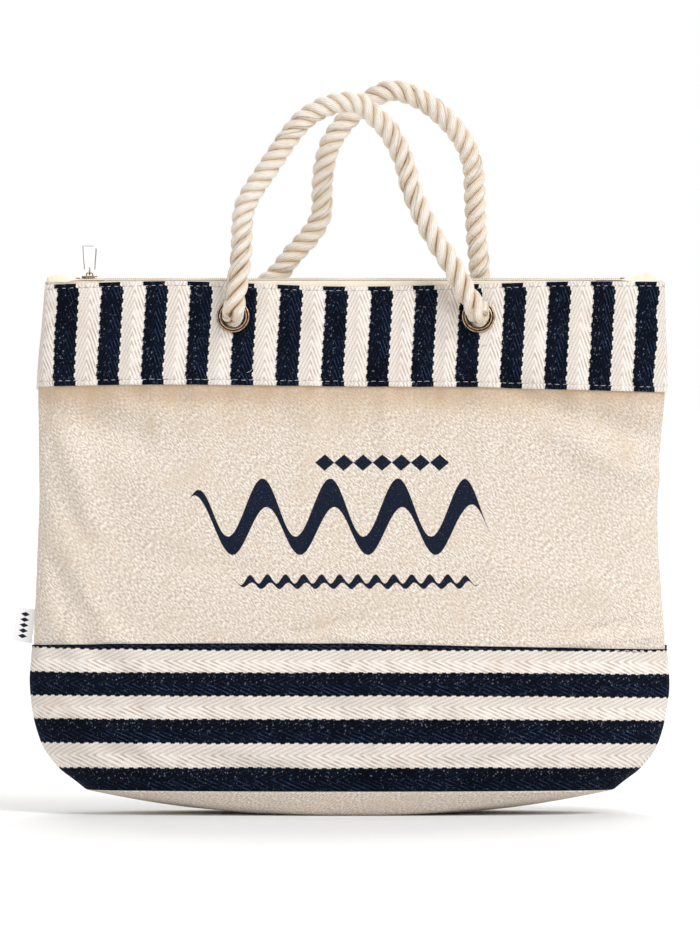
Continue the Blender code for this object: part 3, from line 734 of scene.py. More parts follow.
def calm_edges():
    """Creases die out at the side seams, the mouth and the rim of the base."""
    for wall in walls.values():
        height = wall.points[..., 2]
        length = np.abs(wall.along).max(axis=1, keepdims=True)
        to_seam = np.clip((length - np.abs(wall.along)) / 0.012, 0, 1)
        to_mouth = np.clip((BODY_HEIGHT - height) / 0.020, 0.15, 1)
        to_base = np.clip((height - BASE_RISE) / 0.015, 0, 1)
        # The cloth stays flat under each eyelet
        flat = np.ones_like(height)
        for end in ENDS.values():
            aside = wall.points[..., 0] - EYELET_MIDDLE - end * EYELET_SPACING / 2
            away = np.hypot(aside, height - EYELET_HEIGHT)
            flat = np.minimum(flat, np.clip((away - EYELET_FLANGE_RADIUS) / 0.010, 0, 1))
        smooth = to_seam**2 * (3 - 2 * to_seam)
        wall.relief *= smooth * to_mouth * to_base * flat


def shape_body():
    """Give both sides their relief: settled cloth, then creases."""
    settle_cloth()
    for wall in walls.values():
        wall.relief = blurred(wall.relief, 6)
    press_creases()
    calm_edges()


# Finishes


def linear(red, green, blue):
    """A colour on the 0 to 255 screen scale as linear light."""
    shares = (value / 255 for value in (red, green, blue))
    return tuple(c / 12.92 if c <= 0.04045 else ((c + 0.055) / 1.055) ** 2.4 for c in shares)


# CREAM_LINE and NAVY_LINE are painted shade in the weave's grooves, and NAVY_LINE is also its darker cloudy
# patches; the crown colours are painted highlights on its ribs
CREAM = linear(236, 229, 222)
CREAM_LINE = linear(184, 158, 134)
CREAM_CROWN_HIGHLIGHT = linear(250, 247, 243)
NAVY = linear(11, 18, 32)
NAVY_LINE = linear(3, 5, 11)
NAVY_CROWN_HIGHLIGHT = linear(50, 68, 102)
NAVY_FLECK = linear(132, 142, 160)
CANVAS = linear(226, 216, 205)
CANVAS_SHADE = linear(186, 165, 142)
CANVAS_LIGHT = linear(248, 241, 233)
CANVAS_WARM = linear(216, 197, 174)
INK = linear(18, 27, 45)
# Nearer the left seam than this, the mouth's bands stay cream
LAST_STRIPE = 0.2145


# Herringbone of the mouth's bands and of the bottom ones: half a stripe, one rib along it, its slope
UPRIGHT_WEAVE = (7.8 * MM, 6.0 * MM, 2.5)
LYING_WEAVE = (8.3 * MM, 6.45 * MM, 2.3)
# Stripes of the mouth's bands: where they are counted from, their lean, and how far parts are off line
STRIPE_MIDDLE = 3.0 * MM
STRIPE_LEAN = 0.028
LEFT_STRIPES_SHIFT = 2.0 * MM
TOP_HEM_SHIFT = 2.0 * MM
LOW_HEM_SHIFT = 1.3 * MM
THREAD_PITCH = 1.15 * MM


def weave_finish(name, upright):
    """Navy and cream herringbone stripes, upright on the mouth's band and lying on the bottom one."""
    finish = Finish(name, 0.9, specular_ior_level=0.06)
    half, pitch, slope = UPRIGHT_WEAVE if upright else LYING_WEAVE
    if upright:
        hem = finish.y.between(TOP_BAND_CLOTH - 3.5 * MM, TOP_BAND_CLOTH - 3.1 * MM)
        low = finish.y.between(3.3 * MM, 3.7 * MM, 1.0, 0.0)
        lean = (TOP_BAND_CLOTH / 2 - finish.y) * STRIPE_LEAN
        across = finish.x + hem * TOP_HEM_SHIFT - low * LOW_HEM_SHIFT - STRIPE_MIDDLE
        across = across + finish.x.between(-0.10, 0.02, LEFT_STRIPES_SHIFT, 0.0) + lean
        along = finish.y * (1.0 - hem * 2.0)
    else:
        across = finish.y - half
        along = finish.x * -1.0
    across = across + (finish.noise(55.0, 2.0, shift=3.0) * (1.2 * MM) - 0.6 * MM)
    along = along + (finish.noise(90.0, 1.0, shift=9.0) - 0.5) * (1.6 * MM)
    # Place inside each stripe: -1 at one edge, 0 at its centre, 1 at the other
    place = ((across / (2 * half)) + 0.5).part() * 2.0 - 1.0
    off = abs(place)
    crisp = place.between(-0.18, 0.06) if upright else place.between(-0.06, 0.18, 1.0, 0.0)
    yarn = finish.noise(1300.0, 2.0, shift=1.0)
    patch = finish.noise(150.0, 2.0, shift=12.0)
    ridge = ((along + off * (half * slope)) / pitch).part()
    line = abs(ridge - 0.5).between(0.15, 0.44)
    crown = abs(ridge - 0.5).between(0.0, 0.20, 1.0, 0.0)
    dots = ((along - off * half) / THREAD_PITCH).wave().between(-0.2, 0.7)
    dotted = line * (0.10 + dots * 0.70) + dots * yarn.between(0.46, 0.60) * 0.6
    groove = line * crisp * (0.25 + patch.between(0.35, 0.65) * 0.7) + dotted * (1.0 - crisp)
    # Scalloped edges between the stripes
    scallop = (along / pitch).wave() * (0.45 * MM) + (along / (pitch / 3)).wave() * (0.18 * MM)
    stripe = ((across + scallop) / (4 * half) + 0.25).part()
    edge = 0.25 * MM / (4 * half)
    navy = stripe.between(0.5 - edge, 0.5 + edge) * stripe.between(1.0 - 2 * edge, 1.0, 1.0, 0.0)
    if upright:
        navy = navy * finish.x.between(-LAST_STRIPE - 0.5 * MM, -LAST_STRIPE)
    else:
        navy = 1.0 - navy
    cloud = finish.noise(28.0, 3.0, shift=5.0)
    # Painted shade: the cream darkens in the grooves between the ribs; painted highlight: it lightens on
    # their crowns. The yarn and cloud marks after them are the cloth's own tone.
    cream = finish.mix(groove * (0.45 + yarn * 0.75), CREAM, CREAM_LINE)
    cream = finish.mix(crown * crisp * 0.7 + crown * yarn * 0.2, cream, CREAM_CROWN_HIGHLIGHT)
    cream = finish.mix(yarn.between(0.57, 0.76) * 0.30, cream, linear(204, 182, 162))
    cream = finish.mix(cloud.between(0.50, 0.75) * 0.30, cream, linear(222, 202, 182))
    # The navy likewise gets painted shade in the grooves and a painted highlight on the crowns; its clouds
    # and flecks are its own tone.
    dark = finish.mix(groove, NAVY, NAVY_LINE)
    dark = finish.mix(crown * (crisp * 0.7 + 0.3) * (patch.between(0.38, 0.62) * 0.8), dark, NAVY_CROWN_HIGHLIGHT)
    dark = finish.mix(cloud.between(0.42, 0.66) * 0.5, dark, NAVY_LINE)
    fleck = finish.specks(640.0, stretch=(1.0, 0.75, 1.0), shift=2.0).between(0.16, 0.40, 1.0, 0.0)
    sparse = finish.noise(420.0, 1.0, shift=7.0).between(0.46, 0.64)
    dark = finish.mix(fleck * sparse * (0.65 - crisp * 0.40), dark, NAVY_FLECK)
    finish.color(finish.mix(navy, cream, dark))
    finish.bump((1.0 - groove) * 0.6 + yarn * 0.4, 0.45 * MM, 0.85)
    return finish


def canvas_finish(name, printed):
    """Unbleached canvas: fine slanting dashes of yarn over warm clouds, painted shade under the mouth's band,
    and the print where asked for.
    """
    finish = Finish(name, 0.92, sheen_weight=0.05, sheen_roughness=0.5, specular_ior_level=0.12)
    dash = finish.dashes(780.0, 0.36)
    cloud = finish.noise(24.0, 4.0, shift=1.5)
    blotch = finish.noise(75.0, 3.0, shift=14.0)
    fine = finish.noise(1050.0, 2.0, shift=8.0)
    color = finish.mix(dash.between(0.46, 0.64) * 0.8, CANVAS, CANVAS_SHADE)
    color = finish.mix(dash.between(0.32, 0.48, 1.0, 0.0), color, CANVAS_LIGHT)
    color = finish.mix(fine.between(0.52, 0.68) * 0.55, color, CANVAS_SHADE)
    color = finish.mix(fine.between(0.32, 0.44, 1.0, 0.0) * 0.6, color, CANVAS_LIGHT)
    warm = cloud.between(0.48, 0.72) * 0.34 + blotch.between(0.50, 0.72) * 0.30
    color = finish.mix(warm, color, CANVAS_WARM)
    color = finish.mix(fine.between(0.68, 0.80) * 0.5, color, linear(150, 124, 98))
    # Painted shade: the cloth just under the mouth's band is darkened and warmed in blotches, and more in a
    # strip right under its edge
    under = finish.y.between(0.258, 0.300) * (blotch * 0.45 + cloud * 0.45)
    color = finish.mix(under + finish.y.between(0.282, 0.299) * 0.30, color, linear(194, 166, 134))
    if printed:
        ink = waves_print(finish) * (1.0 - fine.between(0.62, 0.80) * 0.45)
        color = finish.mix(ink, color, INK)
    finish.color(color)
    finish.bump(dash * 0.7 + fine * 0.6, 0.20 * MM, 0.7)
    return finish


# The generic print on the front: waves as (left, right, middle height, crests, swing, half thickness)
PRINT_WAVES = (
    (-0.113, 0.101, 0.2080, 4.5, 0.0180, 0.0125),
    (-0.083, 0.094, 0.1640, 14.0, 0.0024, 0.0038),
)
PRINT_DIAMONDS = (-0.024, 0.070, 0.2475, 7, 0.0058)


def waves_print(finish):
    """How much ink there is: a bold wave, a row of diamonds over it and a thin wave under it."""
    rough = (finish.noise(900.0, 2.0, shift=11.0) - 0.5) * (0.9 * MM)
    ink = None
    for left, right, middle, crests, swing, half in PRINT_WAVES:
        span = right - left
        along = (finish.x - left) / span
        turn = along * crests
        line = (turn + 0.12).wave() * swing
        pen = 0.66 + ((turn + 0.30).wave() * 0.34)
        taper = along.between(0.0, 0.10) * along.between(0.90, 1.0, 1.0, 0.0)
        off = abs(finish.y - middle - line) + rough
        stroke = (pen * taper * half - off).between(-0.15 * MM, 0.25 * MM)
        stroke = stroke * along.between(0.0, 0.005) * along.between(0.995, 1.0, 1.0, 0.0)
        ink = stroke if ink is None else ink.most(stroke)
    left, right, middle, count, size = PRINT_DIAMONDS
    step = (right - left) / count
    place = ((finish.x - left) / step).part() - 0.5
    inside = finish.x.between(left, left + 0.2 * MM) * finish.x.between(right - 0.2 * MM, right, 1.0, 0.0)
    off = abs(place) * (step * 0.85) + abs(finish.y - middle) + rough
    return ink.most((size - off).between(-0.15 * MM, 0.25 * MM) * inside)


def rope_finish(name):
    """Cotton strands: fine yarns along each one, painted shade, tan, where they sink between their
    neighbours, and a painted highlight on their crowns.
    """
    finish = Finish(name, 0.9, sheen_weight=0.08, sheen_roughness=0.5, specular_ior_level=0.12)
    depth = finish.tree.nodes.new("ShaderNodeAttribute")
    depth.attribute_name = "outer"
    outer = Field(finish.tree, depth.outputs["Fac"])
    turn, length = finish.x, finish.y
    fray = finish.noise(60.0, 2.0, stretch=(0.05, 1.0, 1.0), shift=3.0)
    yarn = (turn * 17.0 + length * 95.0 + fray * 1.2).wave()
    fine = finish.noise(700.0, 2.0, stretch=(0.05, 0.35, 1.0), shift=1.0)
    # Painted shade: tan deep between the strands, paler further out on them, and a painted highlight on the
    # strands' crowns
    color = finish.mix(outer.between(0.50, 0.88), linear(166, 124, 84), linear(235, 221, 201))
    color = finish.mix(outer.between(0.92, 1.0) * 0.7, color, linear(252, 249, 244))
    color = finish.mix(yarn.between(-1.0, -0.3, 1.0, 0.0) * 0.42, color, linear(198, 168, 134))
    color = finish.mix(fine.between(0.54, 0.72) * 0.45, color, linear(190, 160, 126))
    finish.color(color)
    finish.bump(yarn * 0.35 + fine * 0.8, 0.5 * MM, 0.8)
    return finish


def metal_finish(name, base, tarnish, rough, amount, rings=False):
    """Plated metal with tarnish in patches, and darker in an eyelet's rings where asked for."""
    finish = Finish(name, rough, 1.0, coordinate="Object")
    grime = finish.noise(420.0, 4.0, shift=2.0, rough=0.6)
    scratch = finish.noise(1800.0, 3.0, stretch=(1.0, 0.15, 0.6), shift=5.0)
    stain = grime.between(0.42, 0.68)
    color = finish.mix(stain * amount, base, tarnish)
    color = finish.mix(scratch.between(0.60, 0.74) * 0.4, color, linear(236, 228, 214))
    if rings:
        # Darker in the eyelet's groove, round its outer edge and down its barrel
        reach = finish.split("UV")[1]
        groove = abs(reach - EYELET_GROOVE).between(0.0, 0.55 * MM, 1.0, 0.0)
        rim = reach.between(EYELET_FLANGE_RADIUS - 0.25 * MM, EYELET_FLANGE_RADIUS)
        barrel = reach.between(EYELET_HOLE_RADIUS + 0.05 * MM, EYELET_HOLE_RADIUS + 0.35 * MM, 1.0, 0.0)
        color = finish.mix(groove.most(rim).most(barrel) * 0.92, color, linear(44, 28, 16))
    finish.color(color)
    finish.roughness(stain * 0.22 + scratch * 0.10 + rough)
    finish.bump(scratch * 0.6 + grime * 0.4, 0.05 * MM, 0.5)
    return finish


def pull_finish(name):
    """Bright plated metal, with painted shade as a grey band round its edge."""
    finish = Finish(name, 0.18, 1.0, coordinate="Object")
    scratch = finish.noise(1500.0, 3.0, stretch=(1.0, 1.0, 0.12), shift=5.0)
    base = pull_base_height()
    crown = base + PULL_LENGTH
    narrow = PULL_EYE_WIDTH / 2 + 1.2 * MM
    half = finish.z.between(base, crown, narrow, PULL_WIDTH / 2)
    side = (abs(finish.x + SLIDER_PARK) - half).between(-0.95 * MM, -0.55 * MM)
    top = finish.z.between(crown - 1.1 * MM, crown - 0.7 * MM)
    color = finish.mix(scratch.between(0.55, 0.75) * 0.35, (0.98, 0.98, 0.97), linear(226, 224, 220))
    # Painted shade: a grey band along the tab's sides and top
    finish.color(finish.mix(side.most(top), color, linear(142, 132, 136)))
    finish.roughness(scratch * 0.15 + 0.12)
    finish.bump(scratch, 0.02 * MM, 0.4)
    return finish


def tape_finish(name, color_a, color_b, pitch):
    """Fine ribbed tape, its ribs running across it."""
    finish = Finish(name, 0.85, sheen_weight=0.15, sheen_roughness=0.5, specular_ior_level=0.25)
    rib = (finish.x / pitch).wave()
    cross = (finish.y / (pitch * 0.8)).wave() * rib
    fine = finish.noise(1200.0, 2.0, shift=2.0)
    cloud = finish.noise(60.0, 2.0, shift=4.0)
    color = finish.mix(rib.between(-0.9, 0.4, 1.0, 0.0) * 0.5, color_a, color_b)
    color = finish.mix(fine.between(0.5, 0.75) * 0.3, color, color_b)
    color = finish.mix(cloud.between(0.45, 0.75) * 0.25, color, color_b)
    finish.color(color)
    finish.bump(rib * 0.5 + cross * 0.3 + fine * 0.4, 0.15 * MM, 0.8)
    return finish


def label_finish(name):
    """White satin tape with a column of woven diamonds on its front half."""
    finish = Finish(name, 0.8, specular_ior_level=0.2)
    rib = (finish.y / (0.55 * MM)).wave()
    fine = finish.noise(1200.0, 2.0, shift=2.0)
    color = finish.mix(rib.between(-0.9, 0.4, 1.0, 0.0) * 0.4, (1.0, 1.0, 1.0), linear(238, 238, 240))
    step = LABEL_HEIGHT / 6.2
    place = (finish.y / step + 0.5).part() - 0.5
    off = abs(place) * (step * 2.0) + abs(finish.x - 1.50 * LABEL_LENGTH)
    inside = abs(finish.y).between(2.48 * step, 2.5 * step, 1.0, 0.0)
    motif = (off + (fine - 0.5) * (0.6 * MM)).between(3.1 * MM, 3.4 * MM, 1.0, 0.0) * inside
    finish.color(finish.mix(motif, color, linear(26, 34, 52)))
    finish.bump(rib * 0.5 + fine * 0.4, 0.12 * MM, 0.7)
    return finish


def thread_finish(name, light, dark):
    """Twisted thread."""
    finish = Finish(name, 0.7, sheen_weight=0.2, specular_ior_level=0.3)
    twist = (finish.x * 3.0 + finish.y / (0.9 * MM)).wave()
    cloud = finish.noise(300.0, 2.0)
    color = finish.mix(twist.between(-0.8, 0.4, 1.0, 0.0) * 0.6, light, dark)
    finish.color(finish.mix(cloud.between(0.45, 0.7) * 0.4, color, dark))
    finish.bump(twist, 0.08 * MM, 0.7)
    return finish


def coil_finish(name):
    """Nylon, a little cloudy."""
    finish = Finish(name, 0.42, coat_weight=0.15, specular_ior_level=0.5)
    cloud = finish.noise(200.0, 2.0, stretch=(0.2, 1.0, 1.0))
    finish.color(finish.mix(cloud.between(0.4, 0.7), linear(232, 222, 204), linear(206, 190, 166)))
    finish.bump(finish.noise(900.0, 2.0, stretch=(0.1, 1.0, 1.0)), 0.03 * MM, 0.6)
    return finish


# Cloth pieces


CLOTH_COLUMNS = 300


def rounded_rows(span, spacing, radius, dense=()):
    """Distances from the lower edge, close together where the edges round over and where stitches pull."""
    steps = [radius * (1 - math.cos(math.radians(angle))) for angle in (0, 25, 50, 75, 90)]
    rows = set(steps) | {span - step for step in steps}
    count = max(int(round((span - 2 * radius) / spacing)), 1)
    rows |= {radius + (span - 2 * radius) * i / count for i in range(1, count)}
    for place in dense:
        rows |= {place + 0.5 * MM * k for k in range(-4, 5)}
    kept = []
    for row in sorted(rows):
        if 0 <= row <= span and (not kept or row - kept[-1] > 0.02 * MM):
            kept.append(row)
    return np.array(kept)


def strip(
    name, word, low, high, out, thickness, spacing, cloth_height, dense=(), pucker=None, columns=CLOTH_COLUMNS
):
    """A strip of cloth round one side of the body, both of its faces, with rounded edges.

    low and high give the heights of its edges at each place across; cloth_height gives its woven coordinate.
    """
    wall = walls[word]
    shares = np.linspace(0.0, 1.0, columns + 1)
    place = 1.0 - 2.0 * shares
    bottom, top = low(place), high(place)
    span = float((top - bottom).mean())
    radius = thickness / 2
    rows = rounded_rows(span, spacing, radius, dense)
    count = len(rows)
    from_edge = np.minimum(rows, span - rows)
    roll = radius - np.sqrt(np.clip(radius**2 - np.clip(radius - from_edge, 0, None) ** 2, 0, None))
    heights = bottom[None, :] + (top - bottom)[None, :] * (rows / span)[:, None]
    _, along = wall.cloth(shares[None, :], heights, 0.0)
    reach = np.abs(along).max(axis=1, keepdims=True)
    turn_in = 0.9 * MM * np.clip(1 - (reach - np.abs(along)) / (2.5 * MM), 0, 1) ** 2
    relief = pucker(along, rows[:, None], span) if pucker else 0.0
    outer, _ = wall.cloth(shares[None, :], heights, out - roll[:, None] - turn_in + relief)
    inner, _ = wall.cloth(shares[None, :], heights, out - thickness + roll[:, None] - turn_in + 0.6 * relief)
    height = cloth_height(heights, place[None, :], rows[:, None] / span)
    coordinates = np.stack(np.broadcast_arrays(along, height), -1)
    loop = np.concatenate((outer, inner[-2:0:-1]))
    loop_coordinates = np.concatenate((coordinates, coordinates[-2:0:-1]))
    width = columns + 1
    faces = grid_faces(len(loop), width, wrap_rows=True)
    back_of = [0, *range(len(loop) - 1, count - 1, -1), count - 1]
    for column in (0, columns):
        for row in range(count - 1):
            face = [row * width + column, (row + 1) * width + column]
            face += [back_of[row + 1] * width + column, back_of[row] * width + column]
            face = tuple(dict.fromkeys(face))
            faces.append(face if column else face[::-1])
    if walls[word].side == FRONT:
        faces = [face[::-1] for face in faces]
    return add_mesh(name, loop.reshape(-1, 3), faces, loop_coordinates.reshape(-1, 2))


def level(height):
    """An edge at the same height all the way."""
    return lambda place: np.full_like(place, height)


def edge_curve(knots, shift=0.0):
    """An edge that follows a curve, at a distance above it."""
    return lambda place: smooth_curve(knots, place) + shift


STITCH_PITCH = 5.4 * MM
TOP_STITCH_DROP = 3.1 * MM
LOW_STITCH_RISE = 3.6 * MM


def top_band_pucker(along, rise, span):
    """The mouth band's relief: pulled in by both rows of stitches, puffed under the lower one, waved."""
    pull = 0.62 + 0.38 * np.cos(2 * math.pi * along / STITCH_PITCH)
    lower = np.exp(-(((rise - LOW_STITCH_RISE) / (0.8 * MM)) ** 2))
    upper = np.exp(-(((span - rise - TOP_STITCH_DROP) / (0.8 * MM)) ** 2))
    puff = 0.25 * MM * np.exp(-(((rise - 1.8 * MM) / (1.2 * MM)) ** 2))
    wave = 0.30 * MM * np.sin(2 * math.pi * along / 0.0312 + 0.7) * np.exp(-rise / (14 * MM))
    return -0.42 * MM * pull * (lower + upper) + puff + wave


def low_band_pucker(along, rise, span):
    """The bottom band's relief: pulled in by its row of stitches, waved along its top edge."""
    edge = np.exp(-(((span - rise - 2.4 * MM) / (0.9 * MM)) ** 2))
    pull = 0.6 + 0.4 * np.cos(2 * math.pi * along / STITCH_PITCH)
    wave = 0.35 * MM * np.sin(2 * math.pi * along / 0.055 + 1.0) * np.exp(-(span - rise) / (10 * MM))
    return -0.35 * MM * pull * edge + wave


BAND_EDGES = {
    "front": (TOP_BAND_TOP, TOP_BAND_BOTTOM, LOW_BAND_TOP),
    "back": (BACK_TOP_BAND_TOP, BACK_TOP_BAND_BOTTOM, BACK_LOW_BAND_TOP),
}


def low_band_cloth(heights, place, share):
    """Height along the bottom band's own cloth: its stripes droop towards the seams."""
    swell = np.clip((heights - 0.020) / 0.060, 0, 1)
    droop = np.where(place > 0, 3.1 * MM, 0.9 * MM) * np.abs(place) ** 2.4 * swell**2 * (3 - 2 * swell)
    edge = np.where(place > 0, 1.2 * MM, 2.0 * MM) * np.abs(place) ** 3
    edge = edge * np.clip((heights - 0.100) / 0.018, 0, 1)
    z = (heights + droop - edge - BASE_RISE) / MM
    stripes = (17.4 - np.sqrt(17.4**2 - 0.6 * np.clip(z, -20, 400))) / 0.3
    return stripes * (16.6 * MM)


def make_cloth():
    upright = weave_finish("herringbone_upright", True)
    lying = weave_finish("herringbone_lying", False)
    printed = canvas_finish("canvas_printed", True)
    plain = canvas_finish("canvas_plain", False)
    for word, (top, bottom, low_top) in BAND_EDGES.items():
        panel = strip(
            f"{word}_canvas",
            word,
            edge_curve(low_top, -BAND_LAP),
            edge_curve(bottom, BAND_LAP),
            0.0,
            CANVAS_THICKNESS,
            1.9 * MM,
            lambda heights, place, share: heights,
        )
        finish_piece(panel, printed if word == "front" else plain, "root", [f"{word}_panel"])
        band = strip(
            f"{word}_mouth_band",
            word,
            edge_curve(bottom),
            edge_curve(top),
            BAND_OUT,
            BAND_THICKNESS,
            1.6 * MM,
            lambda heights, place, share: share * TOP_BAND_CLOTH + 0 * place,
            dense=(LOW_STITCH_RISE, TOP_BAND_CLOTH - TOP_STITCH_DROP - 0.5 * MM),
            pucker=top_band_pucker,
        )
        cut_eyelet_holes(band, word)
        finish_piece(band, upright, "root", [f"{word}_top_band"])
        low = strip(
            f"{word}_low_band",
            word,
            level(BASE_RISE + CLEARANCE),
            edge_curve(low_top),
            BAND_OUT,
            BAND_THICKNESS,
            1.7 * MM,
            low_band_cloth,
            dense=(0.1003,),
            pucker=low_band_pucker,
        )
        finish_piece(low, lying, "root", [f"{word}_bottom_band"])
    base = make_base()
    finish_piece(base, plain, "root", ["base_panel"])


def cut_eyelet_holes(band, word):
    """Cut the two round holes in the band for its eyelets."""
    reach = 8 * MM
    cutters = []
    for end in ENDS.values():
        centre, normal = eyelet_frame(word, end)
        shape = bmesh.new()
        turn = normal.to_track_quat("Z", "Y").to_matrix().to_4x4()
        bmesh.ops.create_cone(
            shape,
            cap_ends=True,
            segments=48,
            radius1=EYELET_BARREL_RADIUS + CLEARANCE,
            radius2=EYELET_BARREL_RADIUS + CLEARANCE,
            depth=2 * reach,
            matrix=Matrix.Translation(centre) @ turn,
        )
        cutter = linked("hole", taken_mesh(shape, "hole"))
        cutters.append(cutter)
        cut = band.modifiers.new("hole", "BOOLEAN")
        cut.operation = "DIFFERENCE"
        cut.solver = "EXACT"
        cut.object = cutter
    evaluated = band.evaluated_get(bpy.context.evaluated_depsgraph_get())
    mesh = bpy.data.meshes.new_from_object(evaluated)
    mesh.shade_smooth()
    mesh.set_sharp_from_angle(angle=math.radians(50))
    band.modifiers.clear()
    band.data = mesh
    for cutter in cutters:
        bpy.data.objects.remove(cutter)


def make_base():
    """A shallow dish from the flat foot up to the rim under the bottom bands, with both its faces."""
    around, rings = 360, 26
    turns = 2 * math.pi * (np.arange(around) + 0.5) / around
    rim = np.zeros((around, 3))
    half_width, _, squareness = ring_at(BASE_RISE)
    for word, wall in walls.items():
        chosen = turns < math.pi if word == "front" else turns >= math.pi
        angle = turns[chosen] if word == "front" else 2 * math.pi - turns[chosen]
        x = half_width * squared(np.cos(angle), squareness)
        shares = np.array([wall.share_at(value, BASE_RISE) for value in x])
        rim[chosen] = wall.cloth(shares, np.full_like(shares, BASE_RISE), BAND_OUT)[0]
    foot = np.zeros((around, 3))
    foot[:, 0] = BASE_FLAT_HALF_LENGTH * squared(np.cos(turns), squareness)
    foot[:, 1] = -BASE_FLAT_HALF_DEPTH * squared(np.sin(turns), squareness)
    layers = []
    for face in (0, 1):
        raise_by = CANVAS_THICKNESS * face
        shares = np.concatenate((np.linspace(-0.98, 0.0, 12), np.linspace(0.0, 1.0, rings + 1)[1:]))
        points = np.zeros((len(shares), around, 3))
        for row, share in enumerate(shares):
            if share <= 0:
                points[row, :, :2] = foot[:, :2] * (1 + share)
                points[row, :, 2] = raise_by
                continue
            points[row, :, :2] = foot[:, :2] + (rim - foot)[:, :2] * share
            points[row, :, 2] = (BASE_RISE - CANVAS_THICKNESS) * share**BASE_CURVE_POWER + raise_by
            ripple = 0.35 * MM * np.sin(turns * 9 + share * 4) * np.sin(math.pi * share) ** 2
            points[row, :, 2] += np.maximum(ripple, -0.5 * points[row, 0, 2])
        layers.append(points)
    lower, upper = layers
    loop = np.concatenate((lower, upper[::-1]))
    faces = grid_faces(len(loop), around, wrap_columns=True)
    last = (len(loop) - 1) * around
    faces += [tuple(range(around))[::-1], tuple(range(last, last + around))]
    faces = [face[::-1] for face in faces]
    coordinates = np.stack((loop[..., 0], loop[..., 1] - loop[..., 2] * 1.2), -1)
    obj = add_mesh("base_canvas", loop.reshape(-1, 3), faces, coordinates.reshape(-1, 2))
    obj.data.set_sharp_from_angle(angle=math.radians(50))
    return obj


STITCH_LENGTH = 3.9 * MM
STITCH_RADIUS = 0.26 * MM
STITCH_INSET = 3.0 * MM
# Rows of stitches: which band edge each follows, how far above it, how deep it lies and its first seed
STITCH_ROWS = {
    "mouth": (0, -TOP_STITCH_DROP, 0.30 * MM, 10),
    "hem": (1, LOW_STITCH_RISE, 0.30 * MM, 20),
    "low": (2, -2.0 * MM, 0.25 * MM, 30),
}


def stitch_row(kind, word, finish):
    """A row of stitches along one side, each a short arc of thread that dives into the cloth at both ends."""
    edge, above, sunk, seed = STITCH_ROWS[kind]
    height_of = edge_curve(BAND_EDGES[word][edge], above)
    out = BAND_OUT - sunk
    wall = walls[word]
    draw = np.random.default_rng(seed + list(SIDES).index(word))
    total = 2 * float(np.abs(wall.along[TABLE_ROWS // 2]).max())
    count = int((total - 2 * STITCH_INSET) / STITCH_PITCH)
    parts = []
    for index in range(count):
        start = STITCH_INSET + index * STITCH_PITCH + draw.uniform(-0.3, 0.3) * MM
        length = STITCH_LENGTH * draw.uniform(0.82, 1.08)
        places = np.linspace(start, start + length, 7) / total
        lift = np.sin(np.linspace(0, math.pi, 7))
        heights = height_of(1.0 - 2.0 * places) + draw.uniform(-0.18, 0.18) * MM
        points, _ = wall.cloth(places, heights, out - 0.35 * MM + 0.55 * MM * lift**0.7)
        parts.append(tube(points, STITCH_RADIUS * (0.55 + 0.45 * lift), 6))
    obj = add_mesh(f"{word}_{kind}_stitches", *joined(parts))
    finish_piece(obj, finish, "root")


def make_stitches():
    white = thread_finish("white_thread", linear(196, 194, 192), linear(128, 124, 122))
    for word in SIDES:
        stitch_row("mouth", word, white)
        stitch_row("hem", word, white)
    navy = thread_finish("navy_thread", linear(34, 44, 64), linear(10, 14, 24))
    for word in SIDES:
        stitch_row("low", word, navy)


# Eyelets


def eyelet_frame(word, end):
    """Centre of an eyelet on the band's outer face, and the way out of the bag, as the CAD model has them."""
    side = SIDES[word]
    x = EYELET_MIDDLE + end * EYELET_SPACING / 2

    def skin(x, height):
        half_width, half_depth, squareness = ring_at(height)
        forward = (1 - abs(x / half_width) ** squareness) ** (1 / squareness)
        return Vector((x, -side * half_depth * forward, height))

    step, rise = 0.001, 0.001
    along = skin(x - step, EYELET_HEIGHT) - skin(x + step, EYELET_HEIGHT)
    up = skin(x, EYELET_HEIGHT + rise) - skin(x, EYELET_HEIGHT - rise)
    normal = side * up.cross(along).normalized()
    return skin(x, EYELET_HEIGHT) + BAND_OUT * normal, normal


def arc_points(centre, radius, start, end, steps):
    angles = np.radians(np.linspace(start, end, steps))
    return [(centre[0] + radius * math.cos(a), centre[1] + radius * math.sin(a)) for a in angles]


